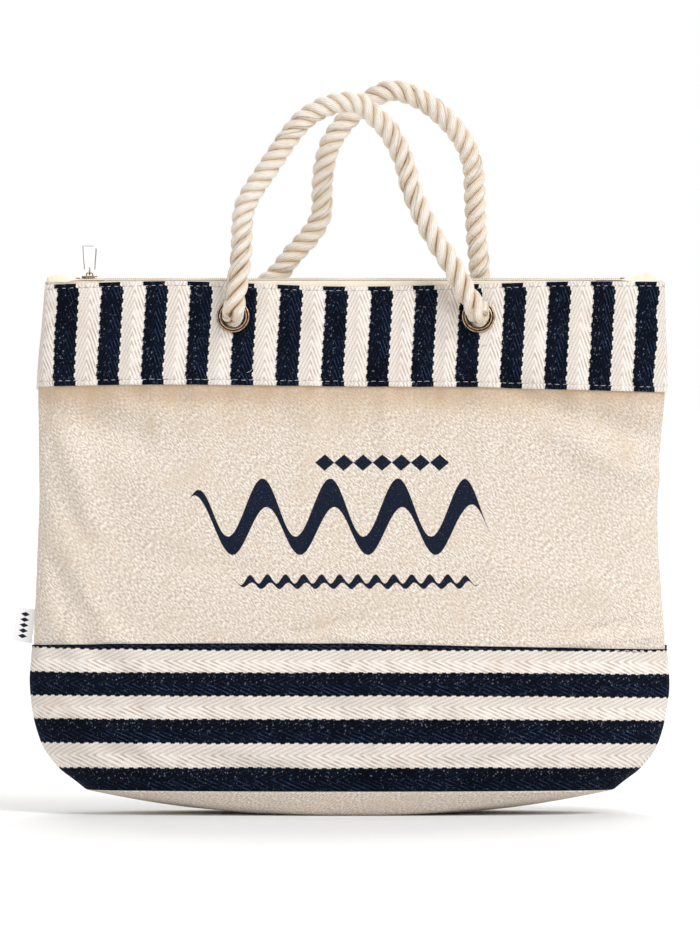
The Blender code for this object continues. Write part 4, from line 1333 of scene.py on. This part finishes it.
def make_eyelets():
    """Four eyelets with double rims and rolled barrels, and the washers behind them."""
    bronze = metal_finish("antique_bronze", linear(186, 160, 130), linear(104, 78, 54), 0.26, 0.8, rings=True)
    dull = metal_finish("antique_bronze_dull", linear(168, 144, 116), linear(92, 70, 48), 0.36, 0.8)
    low, thick = EYELET_SEAT_GAP, EYELET_FLANGE_THICKNESS
    washer_top = -BAND_THICKNESS - EYELET_SEAT_GAP
    washer_bottom = washer_top - WASHER_THICKNESS
    roll_top = washer_bottom - CLEARANCE
    roll = EYELET_ROLL_THICKNESS
    eyelet = [(EYELET_HOLE_RADIUS, low + 0.35 * thick)]
    eyelet += arc_points((EYELET_HOLE_RADIUS + 0.75 * MM, low + 0.45 * thick), 0.75 * MM, 170, 25, 10)
    eyelet += [(EYELET_GROOVE, low + 0.28 * thick)]
    eyelet += arc_points((EYELET_FLANGE_RADIUS - 0.66 * MM, low + 0.48 * thick), 0.64 * MM, 158, -40, 12)
    eyelet += [(EYELET_FLANGE_RADIUS - 0.15 * MM, low - 0.35 * MM), (EYELET_BARREL_RADIUS, low)]
    eyelet += [(EYELET_BARREL_RADIUS, roll_top), (EYELET_ROLL_RADIUS - 0.3 * MM, roll_top)]
    eyelet += arc_points((EYELET_ROLL_RADIUS - roll / 2, roll_top - roll / 2), roll / 2, 90, -90, 7)
    eyelet += [(EYELET_HOLE_RADIUS + 0.2 * MM, roll_top - roll), (EYELET_HOLE_RADIUS, roll_top - 0.6 * roll)]
    inner = EYELET_BARREL_RADIUS + CLEARANCE
    washer = [(inner, washer_top - 0.15 * MM), (inner + 0.2 * MM, washer_top)]
    washer += arc_points((EYELET_FLANGE_RADIUS - 0.4 * MM, washer_top - 0.4 * MM), 0.4 * MM, 90, -90, 7)
    washer += [(inner, washer_bottom)]
    for word in SIDES:
        for end_word, end in ENDS.items():
            centre, normal = eyelet_frame(word, end)
            place = Matrix.Translation(centre) @ normal.to_track_quat("Z", "Y").to_matrix().to_4x4()
            rings = (("eyelet", eyelet, bronze, 96), ("washer", washer, dull, 72))
            for kind, outline, finish, steps in rings:
                node = f"{kind}_{word}_{end_word}"
                obj = add_mesh(f"{node}_ring", *turned(outline, steps))
                obj.data.transform(place)
                obj.data.set_sharp_from_angle(angle=math.radians(38))
                finish_piece(obj, finish, "root", [node])


# Ropes


def rope_pivot(word, end):
    """Where a rope's centre line leaves the front of an eyelet."""
    centre, normal = eyelet_frame(word, end)
    reach = EYELET_SEAT_GAP + EYELET_FLANGE_THICKNESS + ROPE_TO_FLANGE + ROPE_DIAMETER / 2
    return centre + reach * Vector((0.0, normal.y, normal.z)).normalized()


def rope_line(word, route):
    """Ring centres of a whole rope, from inside its left eyelet over the arch to inside its right one."""
    side = SIDES[word]
    left, right = rope_pivot(word, -1), rope_pivot(word, 1)
    points = []
    for end in (-1, 1):
        centre, normal = eyelet_frame(word, end)
        pivot = rope_pivot(word, end)
        out = [centre + reach * MM * normal for reach in (-9, -2, 5)]
        out[-1] += Vector((0, 0, 0.4 * MM))
        out.append(pivot + Vector((0.0, side * 1.6 * MM, 3.6 * MM)))
        points.append(out)
    arch = []
    for share, rise in route:
        x = (left.x + right.x) / 2 + share * (right.x - left.x) / 2
        arch.append(Vector((x, left.y + side * rise * math.tan(HANDLE_LEAN), left.z + rise)))
    line = points[0] + arch + points[1][::-1]
    return even_points(smooth_points(line, 900), 1.0 * MM)


STRAND_RADIUS = 3.56 * MM
STRAND_OFFSET = 4.22 * MM
STRAND_SIDES = 22


def store_depths(obj, depths):
    """Keep how far out in the rope each point lies, for its finish to read."""
    attribute = obj.data.attributes.new("outer", "FLOAT", "POINT")
    attribute.data.foreach_set("value", np.concatenate(depths).astype(np.float32))


def rope_mesh(name, line, lay, phase):
    """Three strands laid right-handed round a line; lay has shares of it and mm for a turn there."""
    along, first, second = path_frames(line)
    lays = np.interp(np.linspace(0, 1, len(line)), *np.array(lay).T) * MM
    step = np.linalg.norm(np.diff(line, axis=0), axis=1)
    turn = np.concatenate(([0.0], np.cumsum(step / ((lays[1:] + lays[:-1]) / 2)))) * 2 * math.pi
    parts, depths = [], []
    for strand in range(3):
        angle = turn + phase + 2 * math.pi * strand / 3
        swell = 1 + 0.035 * np.sin(turn * 0.73 + strand * 2.1) + 0.02 * np.sin(turn * 2.3 + strand)
        outward = np.cos(angle)[:, None] * first + np.sin(angle)[:, None] * second
        centres = line + STRAND_OFFSET * outward
        part = tube(centres, STRAND_RADIUS * swell, STRAND_SIDES)
        rings = part[0].reshape(len(line), STRAND_SIDES, 3)
        depth = np.linalg.norm(rings - line[:, None], axis=2) / (STRAND_RADIUS + STRAND_OFFSET)
        parts.append(part)
        depths.append(depth.ravel())
    obj = add_mesh(name, *joined(parts))
    store_depths(obj, depths)
    return obj


# Route and length of each rope, its lay (share of the rope, mm for a turn) and where its first strand starts
ROPES = {
    "front": (
        FRONT_ROPE_ROUTE,
        FRONT_ROPE_LENGTH,
        ((0.0, 42), (0.13, 40), (0.20, 26), (0.50, 27), (0.75, 37), (1.0, 41)),
        0.4,
    ),
    "back": (BACK_ROPE_ROUTE, BACK_ROPE_LENGTH, ((0.0, 28), (0.60, 28), (1.0, 31)), 1.9),
}


def make_ropes():
    cotton = rope_finish("cotton_strands")
    for word, (route, length, lay, phase) in ROPES.items():
        line = rope_line(word, route)
        obj = rope_mesh(f"{word}_rope", line, lay, phase)
        finish_piece(obj, cotton, None, [f"{word}_rope_handle"])
        centre, _ = eyelet_frame(word, -1)
        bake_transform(obj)
        for end_word, end in ENDS.items():
            make_knot(word, end_word, end, cotton)


def make_knot(word, end_word, end, finish):
    """The stopper knot inside the bag: the rope's strands tucked round it as three interlaced loops."""
    side = SIDES[word]
    centre, normal = eyelet_frame(word, end)
    knot_centre = centre - KNOT_SINK * normal
    knot_centre.x -= side * KNOT_SHIFT
    turns = np.linspace(0, 2 * math.pi, 181)[:-1]
    parts, depths = [], []
    for loop in range(3):
        lift = loop * 2 * math.pi / 3
        ring = np.stack(
            [
                KNOT_LOOP[0] * np.cos(turns) * (1 + 0.10 * np.cos(3 * turns)),
                KNOT_LOOP[1] * np.sin(turns) * (1 + 0.10 * np.cos(3 * turns)),
                KNOT_LOOP[2] * np.sin(2 * turns + lift) + (loop - 1) * KNOT_LOOP_SPACING,
            ],
            -1,
        )
        parts.append(tube(ring, KNOT_STRAND_RADIUS, 14, closed=True))
        depths.append(np.clip(np.linalg.norm(parts[-1][0], axis=1) / KNOT_REACH, 0, 1))
    obj = add_mesh(f"knot_{word}_{end_word}", *joined(parts))
    obj.data.transform(Matrix.Translation(knot_centre))
    store_depths(obj, depths)
    finish_piece(obj, finish, "root", [f"rope_knot_{word}_{end_word}"])


# Zip


def plate(name, outline, low, high, bevel, hole=None):
    """A flat plate from an outline in X and Y, with rounded edges."""
    curve = bpy.data.curves.new(name, "CURVE")
    curve.dimensions = "2D"
    curve.fill_mode = "BOTH"
    curve.extrude = (high - low) / 2 - bevel
    curve.bevel_depth = bevel
    curve.bevel_resolution = 2
    curve.offset = -bevel
    for points in [outline] + ([hole] if hole else []):
        spline = curve.splines.new("POLY")
        spline.points.add(len(points) - 1)
        for target, (x, y) in zip(spline.points, points):
            target.co = (x, y, 0.0, 1.0)
        spline.use_cyclic_u = True
    obj = linked(name, curve)
    mesh = bpy.data.meshes.new_from_object(obj.evaluated_get(bpy.context.evaluated_depsgraph_get()))
    bpy.data.objects.remove(obj)
    mesh.transform(Matrix.Translation((0.0, 0.0, (low + high) / 2)))
    shape = bmesh.new()
    shape.from_mesh(mesh)
    bmesh.ops.remove_doubles(shape, verts=shape.verts, dist=1e-6)
    shape.to_mesh(mesh)
    shape.free()
    mesh.shade_smooth()
    mesh.set_sharp_from_angle(angle=math.radians(40))
    return mesh


def merged(name, meshes):
    """One object from several meshes."""
    shape = bmesh.new()
    for mesh in meshes:
        shape.from_mesh(mesh)
    result = taken_mesh(shape, name)
    result.shade_smooth()
    result.set_sharp_from_angle(angle=math.radians(40))
    return linked(name, result)


def mesh_of(points, faces):
    mesh = bpy.data.meshes.new("shape")
    mesh.from_pydata([tuple(p) for p in points], [], faces)
    mesh.update()
    return mesh


def coil_part(start, end, middle, height, mirror):
    """The nylon wire of one row of zip teeth, wound along X."""
    pitch, wire = 1.45 * MM, 0.36 * MM
    count = int(abs(end - start) / pitch * 12)
    turn = np.linspace(0, 2 * math.pi * abs(end - start) / pitch, count)
    radius = COIL_RADIUS - wire
    points = np.stack(
        [
            np.linspace(start, end, count),
            middle + mirror * radius * np.cos(turn),
            height + radius * np.sin(turn) * 0.95,
        ],
        -1,
    )
    return tube(points, wire, 6)


def make_zip():
    tape = tape_finish("zip_tape_weave", linear(248, 239, 222), linear(228, 207, 176), 0.9 * MM)
    coil = coil_finish("zip_coil_nylon")
    for word, side in SIDES.items():
        hem = strip(
            f"{word}_zip_hem",
            word,
            level(BODY_HEIGHT - HEM_DEPTH),
            level(BODY_HEIGHT + HEM_TOP + 0.5 * MM),
            -CLEARANCE,
            TAPE_THICKNESS,
            1.5 * MM,
            lambda heights, place, share: heights,
            columns=240,
        )
        finish_piece(hem, tape, "root", [f"zip_hem_{word}"])
        inner = COIL_MIDDLE + COIL_RADIUS + CLEARANCE - 0.9 * MM
        flap = tape_flap(f"{word}_zip_tape", side, inner, FLAP_HINGE_HALF_GAP - CLEARANCE)
        finish_piece(flap, tape, f"zip_flap_{word}", [f"zip_tape_{word}"])
        part = coil_part(-FLAP_HALF_LENGTH, FLAP_HALF_LENGTH, -side * COIL_MIDDLE, ZIP_HEIGHT, side)
        row = add_mesh(f"{word}_zip_coil", *part)
        finish_piece(row, coil, f"zip_flap_{word}", [f"zip_coil_{word}"])
    make_zip_ends(tape, coil)
    make_zip_metal()


def tape_flap(name, side, inner, outer):
    """One free half of the tape between the hinge line and the teeth, gently rippled."""
    columns, rows = 340, 8
    x = np.linspace(-FLAP_HALF_LENGTH, FLAP_HALF_LENGTH, columns + 1)
    share = np.linspace(0, 1, rows + 1)
    y = -side * (outer + (inner - outer) * share)
    ripple = 0.22 * MM * np.sin(x / 0.019 + side) + 0.14 * MM * np.sin(x / 0.0083 + 2 * side)
    lift = ripple[None, :] * np.sin(math.pi * share)[:, None] * 0.9
    layers = []
    for face in (1, -1):
        points = np.zeros((rows + 1, columns + 1, 3))
        points[..., 0], points[..., 1] = x[None, :], y[:, None]
        points[..., 2] = ZIP_HEIGHT + lift + face * TAPE_THICKNESS / 2 * 0.9
        layers.append(points)
    return closed_sheet(name, layers[0], layers[1], flip=side == BACK)


def closed_sheet(name, upper, lower, flip=False, coordinates=None, keep=None):
    """A thin sheet from the points of its two faces, where keep allows, with its rim closed."""
    rows, columns = upper.shape[:2]
    count = rows * columns
    kept = np.ones(count, bool) if keep is None else keep.ravel()
    quads = [face for face in grid_faces(rows, columns) if all(kept[i] for i in face)]
    edges = {(a, b) for face in quads for a, b in zip(face, face[1:] + face[:1])}
    faces = [face[::-1] for face in quads] + [tuple(i + count for i in face) for face in quads]
    faces += [(a, b, b + count, a + count) for a, b in sorted(edges) if (b, a) not in edges]
    if not flip:
        faces = [face[::-1] for face in faces]
    points = np.concatenate((upper.reshape(-1, 3), lower.reshape(-1, 3)))
    if coordinates is None:
        coordinates = points[:, :2]
    used = np.unique(faces)
    place = np.zeros(2 * count, int)
    place[used] = np.arange(len(used))
    obj = add_mesh(name, points[used], place[np.array(faces)], coordinates[used])
    obj.data.set_sharp_from_angle(angle=math.radians(60))
    return obj


def make_zip_ends(tape, coil):
    """The closed ends of the zip, lifted where the seams pinch them, with the last teeth."""
    columns, rows = 40, 64
    wall = walls["front"]
    for end_word, end in ENDS.items():
        start, peak, tip, height = END_RIDGE[end_word]
        x = np.linspace(END_START, tip, rows + 1)
        rise = np.clip((x - start) / (peak - start), 0, 1)
        fall = np.clip((x - peak) / (tip - peak), 0, 1)
        lift = rise**2 * (3 - 2 * rise) * (1 - 0.8 * fall**2) * height
        shares = [wall.share_at(end * value, BODY_HEIGHT) for value in x]
        points, _ = wall.cloth(shares, np.full(rows + 1, BODY_HEIGHT), 0.0)
        half = np.minimum(np.abs(points[:, 1]), FLAP_HINGE_HALF_GAP)
        share = np.linspace(-1, 1, columns + 1)
        slot = (np.abs(share)[None, :] * half[:, None] < COIL_MIDDLE - 0.4 * MM) & (x < COIL_END)[:, None]
        points = np.zeros((rows + 1, columns + 1, 3))
        points[..., 0] = end * x[:, None]
        points[..., 1] = share[None, :] * half[:, None]
        slope = np.abs(share)[None, :] ** 1.6 * np.clip((x - COIL_END) / 0.008, 0, 1)[:, None]
        points[..., 2] = ZIP_HEIGHT + lift[:, None] - slope * (lift[:, None] + 1.6 * MM)
        points[..., 2] += 0.18 * MM * np.sin(x / 0.0023)[:, None] * slope
        raised = np.array((0.0, 0.0, TAPE_THICKNESS / 2))
        name = f"zip_end_cloth_{end_word}"
        obj = closed_sheet(name, points + raised, points - raised, flip=end > 0, keep=~slot)
        finish_piece(obj, tape, "root", [f"zip_end_{end_word}"])
        parts = [
            coil_part(end * END_START, end * COIL_END, -side * COIL_MIDDLE, ZIP_HEIGHT, side)
            for side in SIDES.values()
        ]
        teeth = add_mesh(f"zip_end_teeth_{end_word}", *joined(parts))
        finish_piece(teeth, coil, "root")


def link_axis_height():
    return ZIP_HEIGHT + COIL_RADIUS + 2 * CLEARANCE + SLIDER_PLATE + LINK_WIRE / 2


def pull_base_height():
    return link_axis_height() + 2 * LINK_RADIUS - LINK_HANG


def rounded_box(low, high, bevel):
    shape = bmesh.new()
    size = [h - l for l, h in zip(low, high)]
    middle = [(h + l) / 2 for l, h in zip(low, high)]
    bmesh.ops.create_cube(shape, size=1.0, matrix=Matrix.Translation(middle) @ Matrix.Diagonal((*size, 1.0)))
    options = {"segments": 3, "profile": 0.5, "affect": "EDGES", "clamp_overlap": True}
    bmesh.ops.bevel(shape, geom=list(shape.edges), offset=bevel, **options)
    return taken_mesh(shape, "box")


def make_zip_metal():
    bronze = metal_finish("slider_bronze", linear(150, 130, 104), linear(58, 46, 34), 0.30, 0.8)
    bright = pull_finish("pull_bright")
    start, stop = COIL_END + CLEARANCE, COIL_END + CLEARANCE + STOP_LENGTH
    low, high = ZIP_HEIGHT - COIL_RADIUS, ZIP_HEIGHT + COIL_RADIUS
    inner, outer = COIL_HALF_GAP, COIL_HALF_GAP + 2 * COIL_RADIUS
    for word, side in SIDES.items():
        near, far = sorted((-side * inner, -side * outer))
        obj = merged(f"top_stop_{word}", [rounded_box((-stop, near, low), (-start, far, high), STOP_BEVEL)])
        finish_piece(obj, bronze, "root", [f"zip_top_stop_{word}"])
    obj = merged("bottom_stop", [rounded_box((start, -outer, low), (stop, outer, high), STOP_BEVEL)])
    finish_piece(obj, bronze, "root", ["zip_bottom_stop"])
    make_slider(bronze)
    make_link(bronze)
    make_pull(bright)


def slider_outline():
    """A shield: wide at the mouth end, narrow at the tail."""
    half, wide = SLIDER_LENGTH / 2, SLIDER_HALF_WIDTH
    upper = [(-half, 0.2 * wide), (-half + 0.5 * MM, 0.72 * wide), (-half + 1.6 * MM, 0.96 * wide)]
    upper += [(-1.2 * MM, wide), (1.5 * MM, 0.93 * wide), (half - 1.6 * MM, 0.84 * wide)]
    upper += [(half - 0.4 * MM, 0.70 * wide), (half, 0.3 * wide)]
    return upper[::-1] + [(x, -y) for x, y in upper]


def make_slider(finish):
    """Two shield plates with a post between them, their rims, and the bridge on top."""
    channel = COIL_RADIUS + CLEARANCE
    park = Matrix.Translation((-SLIDER_PARK, 0.0, ZIP_HEIGHT))
    outline = slider_outline()
    meshes = [plate("slider_upper", outline, channel, channel + SLIDER_PLATE, 0.22 * MM)]
    meshes.append(plate("slider_lower", outline, -channel - SLIDER_PLATE, -channel, 0.22 * MM))
    nose, reach = -SLIDER_LENGTH / 2, channel + 0.2 * MM
    # The post between the plates, then the four rims that hold the teeth in
    boxes = [((nose + 0.1 * MM, -0.5 * MM, -reach), (nose + 3.5 * MM, 0.5 * MM, reach))]
    for sign in (-1, 1):
        near, far = sorted((sign * (SLIDER_HALF_WIDTH - 0.55 * MM), sign * SLIDER_HALF_WIDTH))
        inside, outside = channel - 0.75 * MM, channel + 0.3 * MM
        boxes += [((-2.6 * MM, near, inside), (3.6 * MM, far, outside))]
        boxes += [((-2.6 * MM, near, -outside), (3.6 * MM, far, -inside))]
    meshes += [rounded_box(low, high, 0.2 * MM) for low, high in boxes]
    wire = LINK_WIRE / 2
    top = link_axis_height() - ZIP_HEIGHT + LINK_HANG
    base = channel + SLIDER_PLATE - 0.2 * MM
    arch = [(-2.2 * MM, base), (-2.2 * MM, top - 0.9 * MM), (-1.9 * MM, top - 0.25 * MM), (-1.1 * MM, top)]
    arch += [(-x, z) for x, z in reversed(arch)]
    line = smooth_points([(x, 0.0, z) for x, z in arch], 40)
    points, faces, _ = tube(line, wire * 0.95, 12)
    meshes.append(mesh_of(points, faces))
    obj = merged("slider_body", meshes)
    obj.data.transform(park)
    finish_piece(obj, finish, "slider", ["zip_slider"])


def make_link(finish):
    turns = np.linspace(0, 2 * math.pi, 73)[:-1]
    ring = np.stack([0 * turns, LINK_RADIUS * np.sin(turns), LINK_RADIUS * (1 - np.cos(turns))], -1)
    ring += np.array((-SLIDER_PARK, 0.0, link_axis_height()))
    obj = add_mesh("pull_link_ring", *tube(ring, LINK_WIRE / 2, 14, closed=True))
    finish_piece(obj, finish, "link", ["zip_pull_link"])


def make_pull(finish):
    """A flat tab, wider at its rounded end, with a slot for the link."""
    strip_half, half, eye = 0.4 * MM, PULL_WIDTH / 2, PULL_EYE_WIDTH / 2 + 1.1 * MM
    shoulder, top = 4.2 * MM, PULL_LENGTH - 0.4 * MM
    corner = PULL_WIDTH * 0.34
    outline = [(eye - 0.6 * MM, -strip_half), (eye, 0.3 * MM), (eye + 0.25 * MM, shoulder)]
    outline += [(half, top - 3.4 * MM)]
    mirrored = [(-x, y) for x, y in reversed(outline[:-1])]
    outline += arc_points((half - corner, top - corner), corner, 0, 90, 9)
    outline += arc_points((0.6 * MM - half, top - 0.6 * MM), 0.6 * MM, 90, 180, 5)
    outline += mirrored
    rim = 1.3 * MM
    hole_half, hole_top = eye - rim, shoulder - 1.2 * MM
    hole = [(-hole_half, strip_half), (hole_half, strip_half), (hole_half, hole_top), (-hole_half, hole_top)]
    mesh = plate("pull", outline, -PULL_THICKNESS / 2, PULL_THICKNESS / 2, 0.2 * MM, hole)
    obj = merged("pull_tab", [mesh])
    upright = Matrix.Rotation(math.pi / 2, 4, "X")
    obj.data.transform(Matrix.Translation((-SLIDER_PARK, 0.0, pull_base_height())) @ upright)
    finish_piece(obj, finish, "pull", ["zip_pull"])


# Label and lint


def make_label():
    """A woven tab folded in two and caught in the left seam."""
    tape = label_finish("label_weave")
    columns, rows = 60, 30
    lean = LABEL_HEIGHT / 2 * math.sin(LABEL_TILT)
    low, middle, high = (ring_at(LABEL_RISE + s * LABEL_HEIGHT / 2)[0] for s in (-1, 0, 1))
    seam = max(low - lean, middle, high + lean) + CLEARANCE
    fold, gap, thick = LABEL_LENGTH, 0.22 * MM, 0.26 * MM
    s = np.linspace(0, 1, columns + 1)
    turn = 0.12
    path = np.zeros((columns + 1, 2))
    radius = gap
    for i, share in enumerate(s):
        if share < 0.5 - turn / 2:
            path[i] = (fold - radius) * share / (0.5 - turn / 2), gap
        elif share > 0.5 + turn / 2:
            path[i] = (fold - radius) * (1 - share) / (0.5 - turn / 2), -gap
        else:
            angle = math.pi / 2 - math.pi * (share - 0.5 + turn / 2) / turn
            path[i] = fold - radius + radius * math.cos(angle), gap * math.sin(angle)
    tangent = np.gradient(path, axis=0)
    tangent /= np.linalg.norm(tangent, axis=1)[:, None]
    normal = np.stack((-tangent[:, 1], tangent[:, 0]), -1)
    rise = np.linspace(-LABEL_HEIGHT / 2, LABEL_HEIGHT / 2, rows + 1)
    layers = []
    for face in (0.5, -0.5):
        line = path + normal * thick * face
        points = np.zeros((rows + 1, columns + 1, 3))
        points[..., 0] = -line[None, :, 0] + LABEL_LENGTH / 2
        curl = 0.9 * MM * (line[:, 0] / fold) ** 2
        points[..., 1] = line[None, :, 1] - curl[None, :] * np.cos(rise / LABEL_HEIGHT * 2.0)[:, None]
        points[..., 2] = rise[:, None]
        layers.append(points)
    along = lengths_along(path)
    flat = np.stack(np.broadcast_arrays(along[None, :], rise[:, None]), -1).reshape(-1, 2)
    obj = closed_sheet("seam_label", layers[0], layers[1], coordinates=np.concatenate((flat, flat)))
    turn_matrix = Matrix.Rotation(LABEL_TILT, 4, "Y")
    obj.data.transform(Matrix.Translation((-seam - LABEL_LENGTH / 2, 0.0, LABEL_RISE)) @ turn_matrix)
    finish_piece(obj, tape, "root", ["side_label"])


# Lint on the front: middle (x, height), length, bend, turn in degrees
LINT = (
    (-0.1150, 0.3470, 0.0050, 1.1, 60),
    (-0.0690, 0.3120, 0.0070, 0.7, 48),
    (0.0930, 0.3290, 0.0040, -0.9, 20),
)


def make_lint():
    white = thread_finish("lint", linear(236, 232, 226), linear(200, 192, 184))
    parts = []
    for x, height, length, bend, degrees in LINT:
        s = np.linspace(-0.5, 0.5, 15)
        turn = math.radians(degrees)
        px = x + length * (s * math.cos(turn) - bend * s**2 * math.sin(turn))
        pz = height + length * (s * math.sin(turn) + bend * s**2 * math.cos(turn))
        shares = np.array([walls["front"].share_at(a, b) for a, b in zip(px, pz)])
        points, _ = walls["front"].cloth(shares, pz, BAND_OUT + 0.12 * MM + 0.25 * MM * np.cos(s * 9) ** 2)
        parts.append(tube(points, 0.16 * MM, 6))
    obj = add_mesh("lint_threads", *joined(parts))
    finish_piece(obj, white, "root")


# Stage


def make_camera():
    camera = linked("camera", bpy.data.cameras.new("camera"))
    camera.data.lens = SENSOR * CAMERA_DISTANCE / PICTURE_HEIGHT
    camera.data.sensor_width = SENSOR
    camera.data.clip_end = 50
    target = Vector((0.0, 0.0, PICTURE_MIDDLE))
    offset = Vector((0.0, -math.cos(CAMERA_RISE), math.sin(CAMERA_RISE))) * CAMERA_DISTANCE
    camera.location = target + offset
    camera.rotation_euler = (-offset).to_track_quat("-Z", "Y").to_euler()
    bpy.context.scene.camera = camera


def seen_rays(tree):
    """One for rays that show the background: from the camera, or by way of metal or glass."""
    path = tree.nodes.new("ShaderNodeLightPath")
    camera, glossy, clear = (
        Field(tree, path.outputs[word]) for word in ("Is Camera Ray", "Is Glossy Ray", "Is Transmission Ray")
    )
    return camera.most(glossy).most(clear)


WORLD_LIGHT = 0.48
# Wide, soft suns: where each shines from, its strength and how wide it is
SUNS = {
    "key": ((0.95, -1.05, 1.55), 1.95, 38),
    "fill": ((-1.30, -1.60, 0.50), 0.34, 60),
    "back": ((0.15, 1.30, 1.10), 1.90, 50),
}


def make_light():
    world = bpy.data.worlds.new("studio")
    bpy.context.scene.world = world
    world.use_nodes = True
    tree = world.node_tree
    background = tree.nodes["Background"]
    background.inputs["Color"].default_value = (1.0, 1.0, 1.0, 1.0)
    strength = seen_rays(tree) * (1.0 - WORLD_LIGHT) + WORLD_LIGHT
    tree.links.new(strength.socket, background.inputs["Strength"])
    for name, (place, energy, width) in SUNS.items():
        lamp = bpy.data.lights.new(name, "SUN")
        lamp.energy = energy
        lamp.angle = math.radians(width)
        obj = linked(name, lamp)
        obj.location = place
        obj.rotation_euler = (-Vector(place)).to_track_quat("-Z", "Y").to_euler()


FLOOR_HALF_SIDE = 12.0


def make_floor():
    """A pale floor that looks white where it is lit and keeps the bag's shadow."""
    corners = ((-1, -1), (1, -1), (1, 1), (-1, 1))
    points = [(x * FLOOR_HALF_SIDE, y * FLOOR_HALF_SIDE, 0.0) for x, y in corners]
    floor = add_mesh("floor", points, [(0, 1, 2, 3)], smooth=False)
    finish = Finish("floor", 0.9, coordinate="Object")
    finish.color((0.83, 0.83, 0.83))
    floor.data.materials.append(finish.material)


def main():
    bpy.context.scene.view_settings.view_transform = "Standard"
    make_camera()
    shape_body()
    make_ropes()
    make_cloth()
    make_stitches()
    make_eyelets()
    make_zip()
    make_label()
    make_lint()
    make_light()
    make_floor()


main()
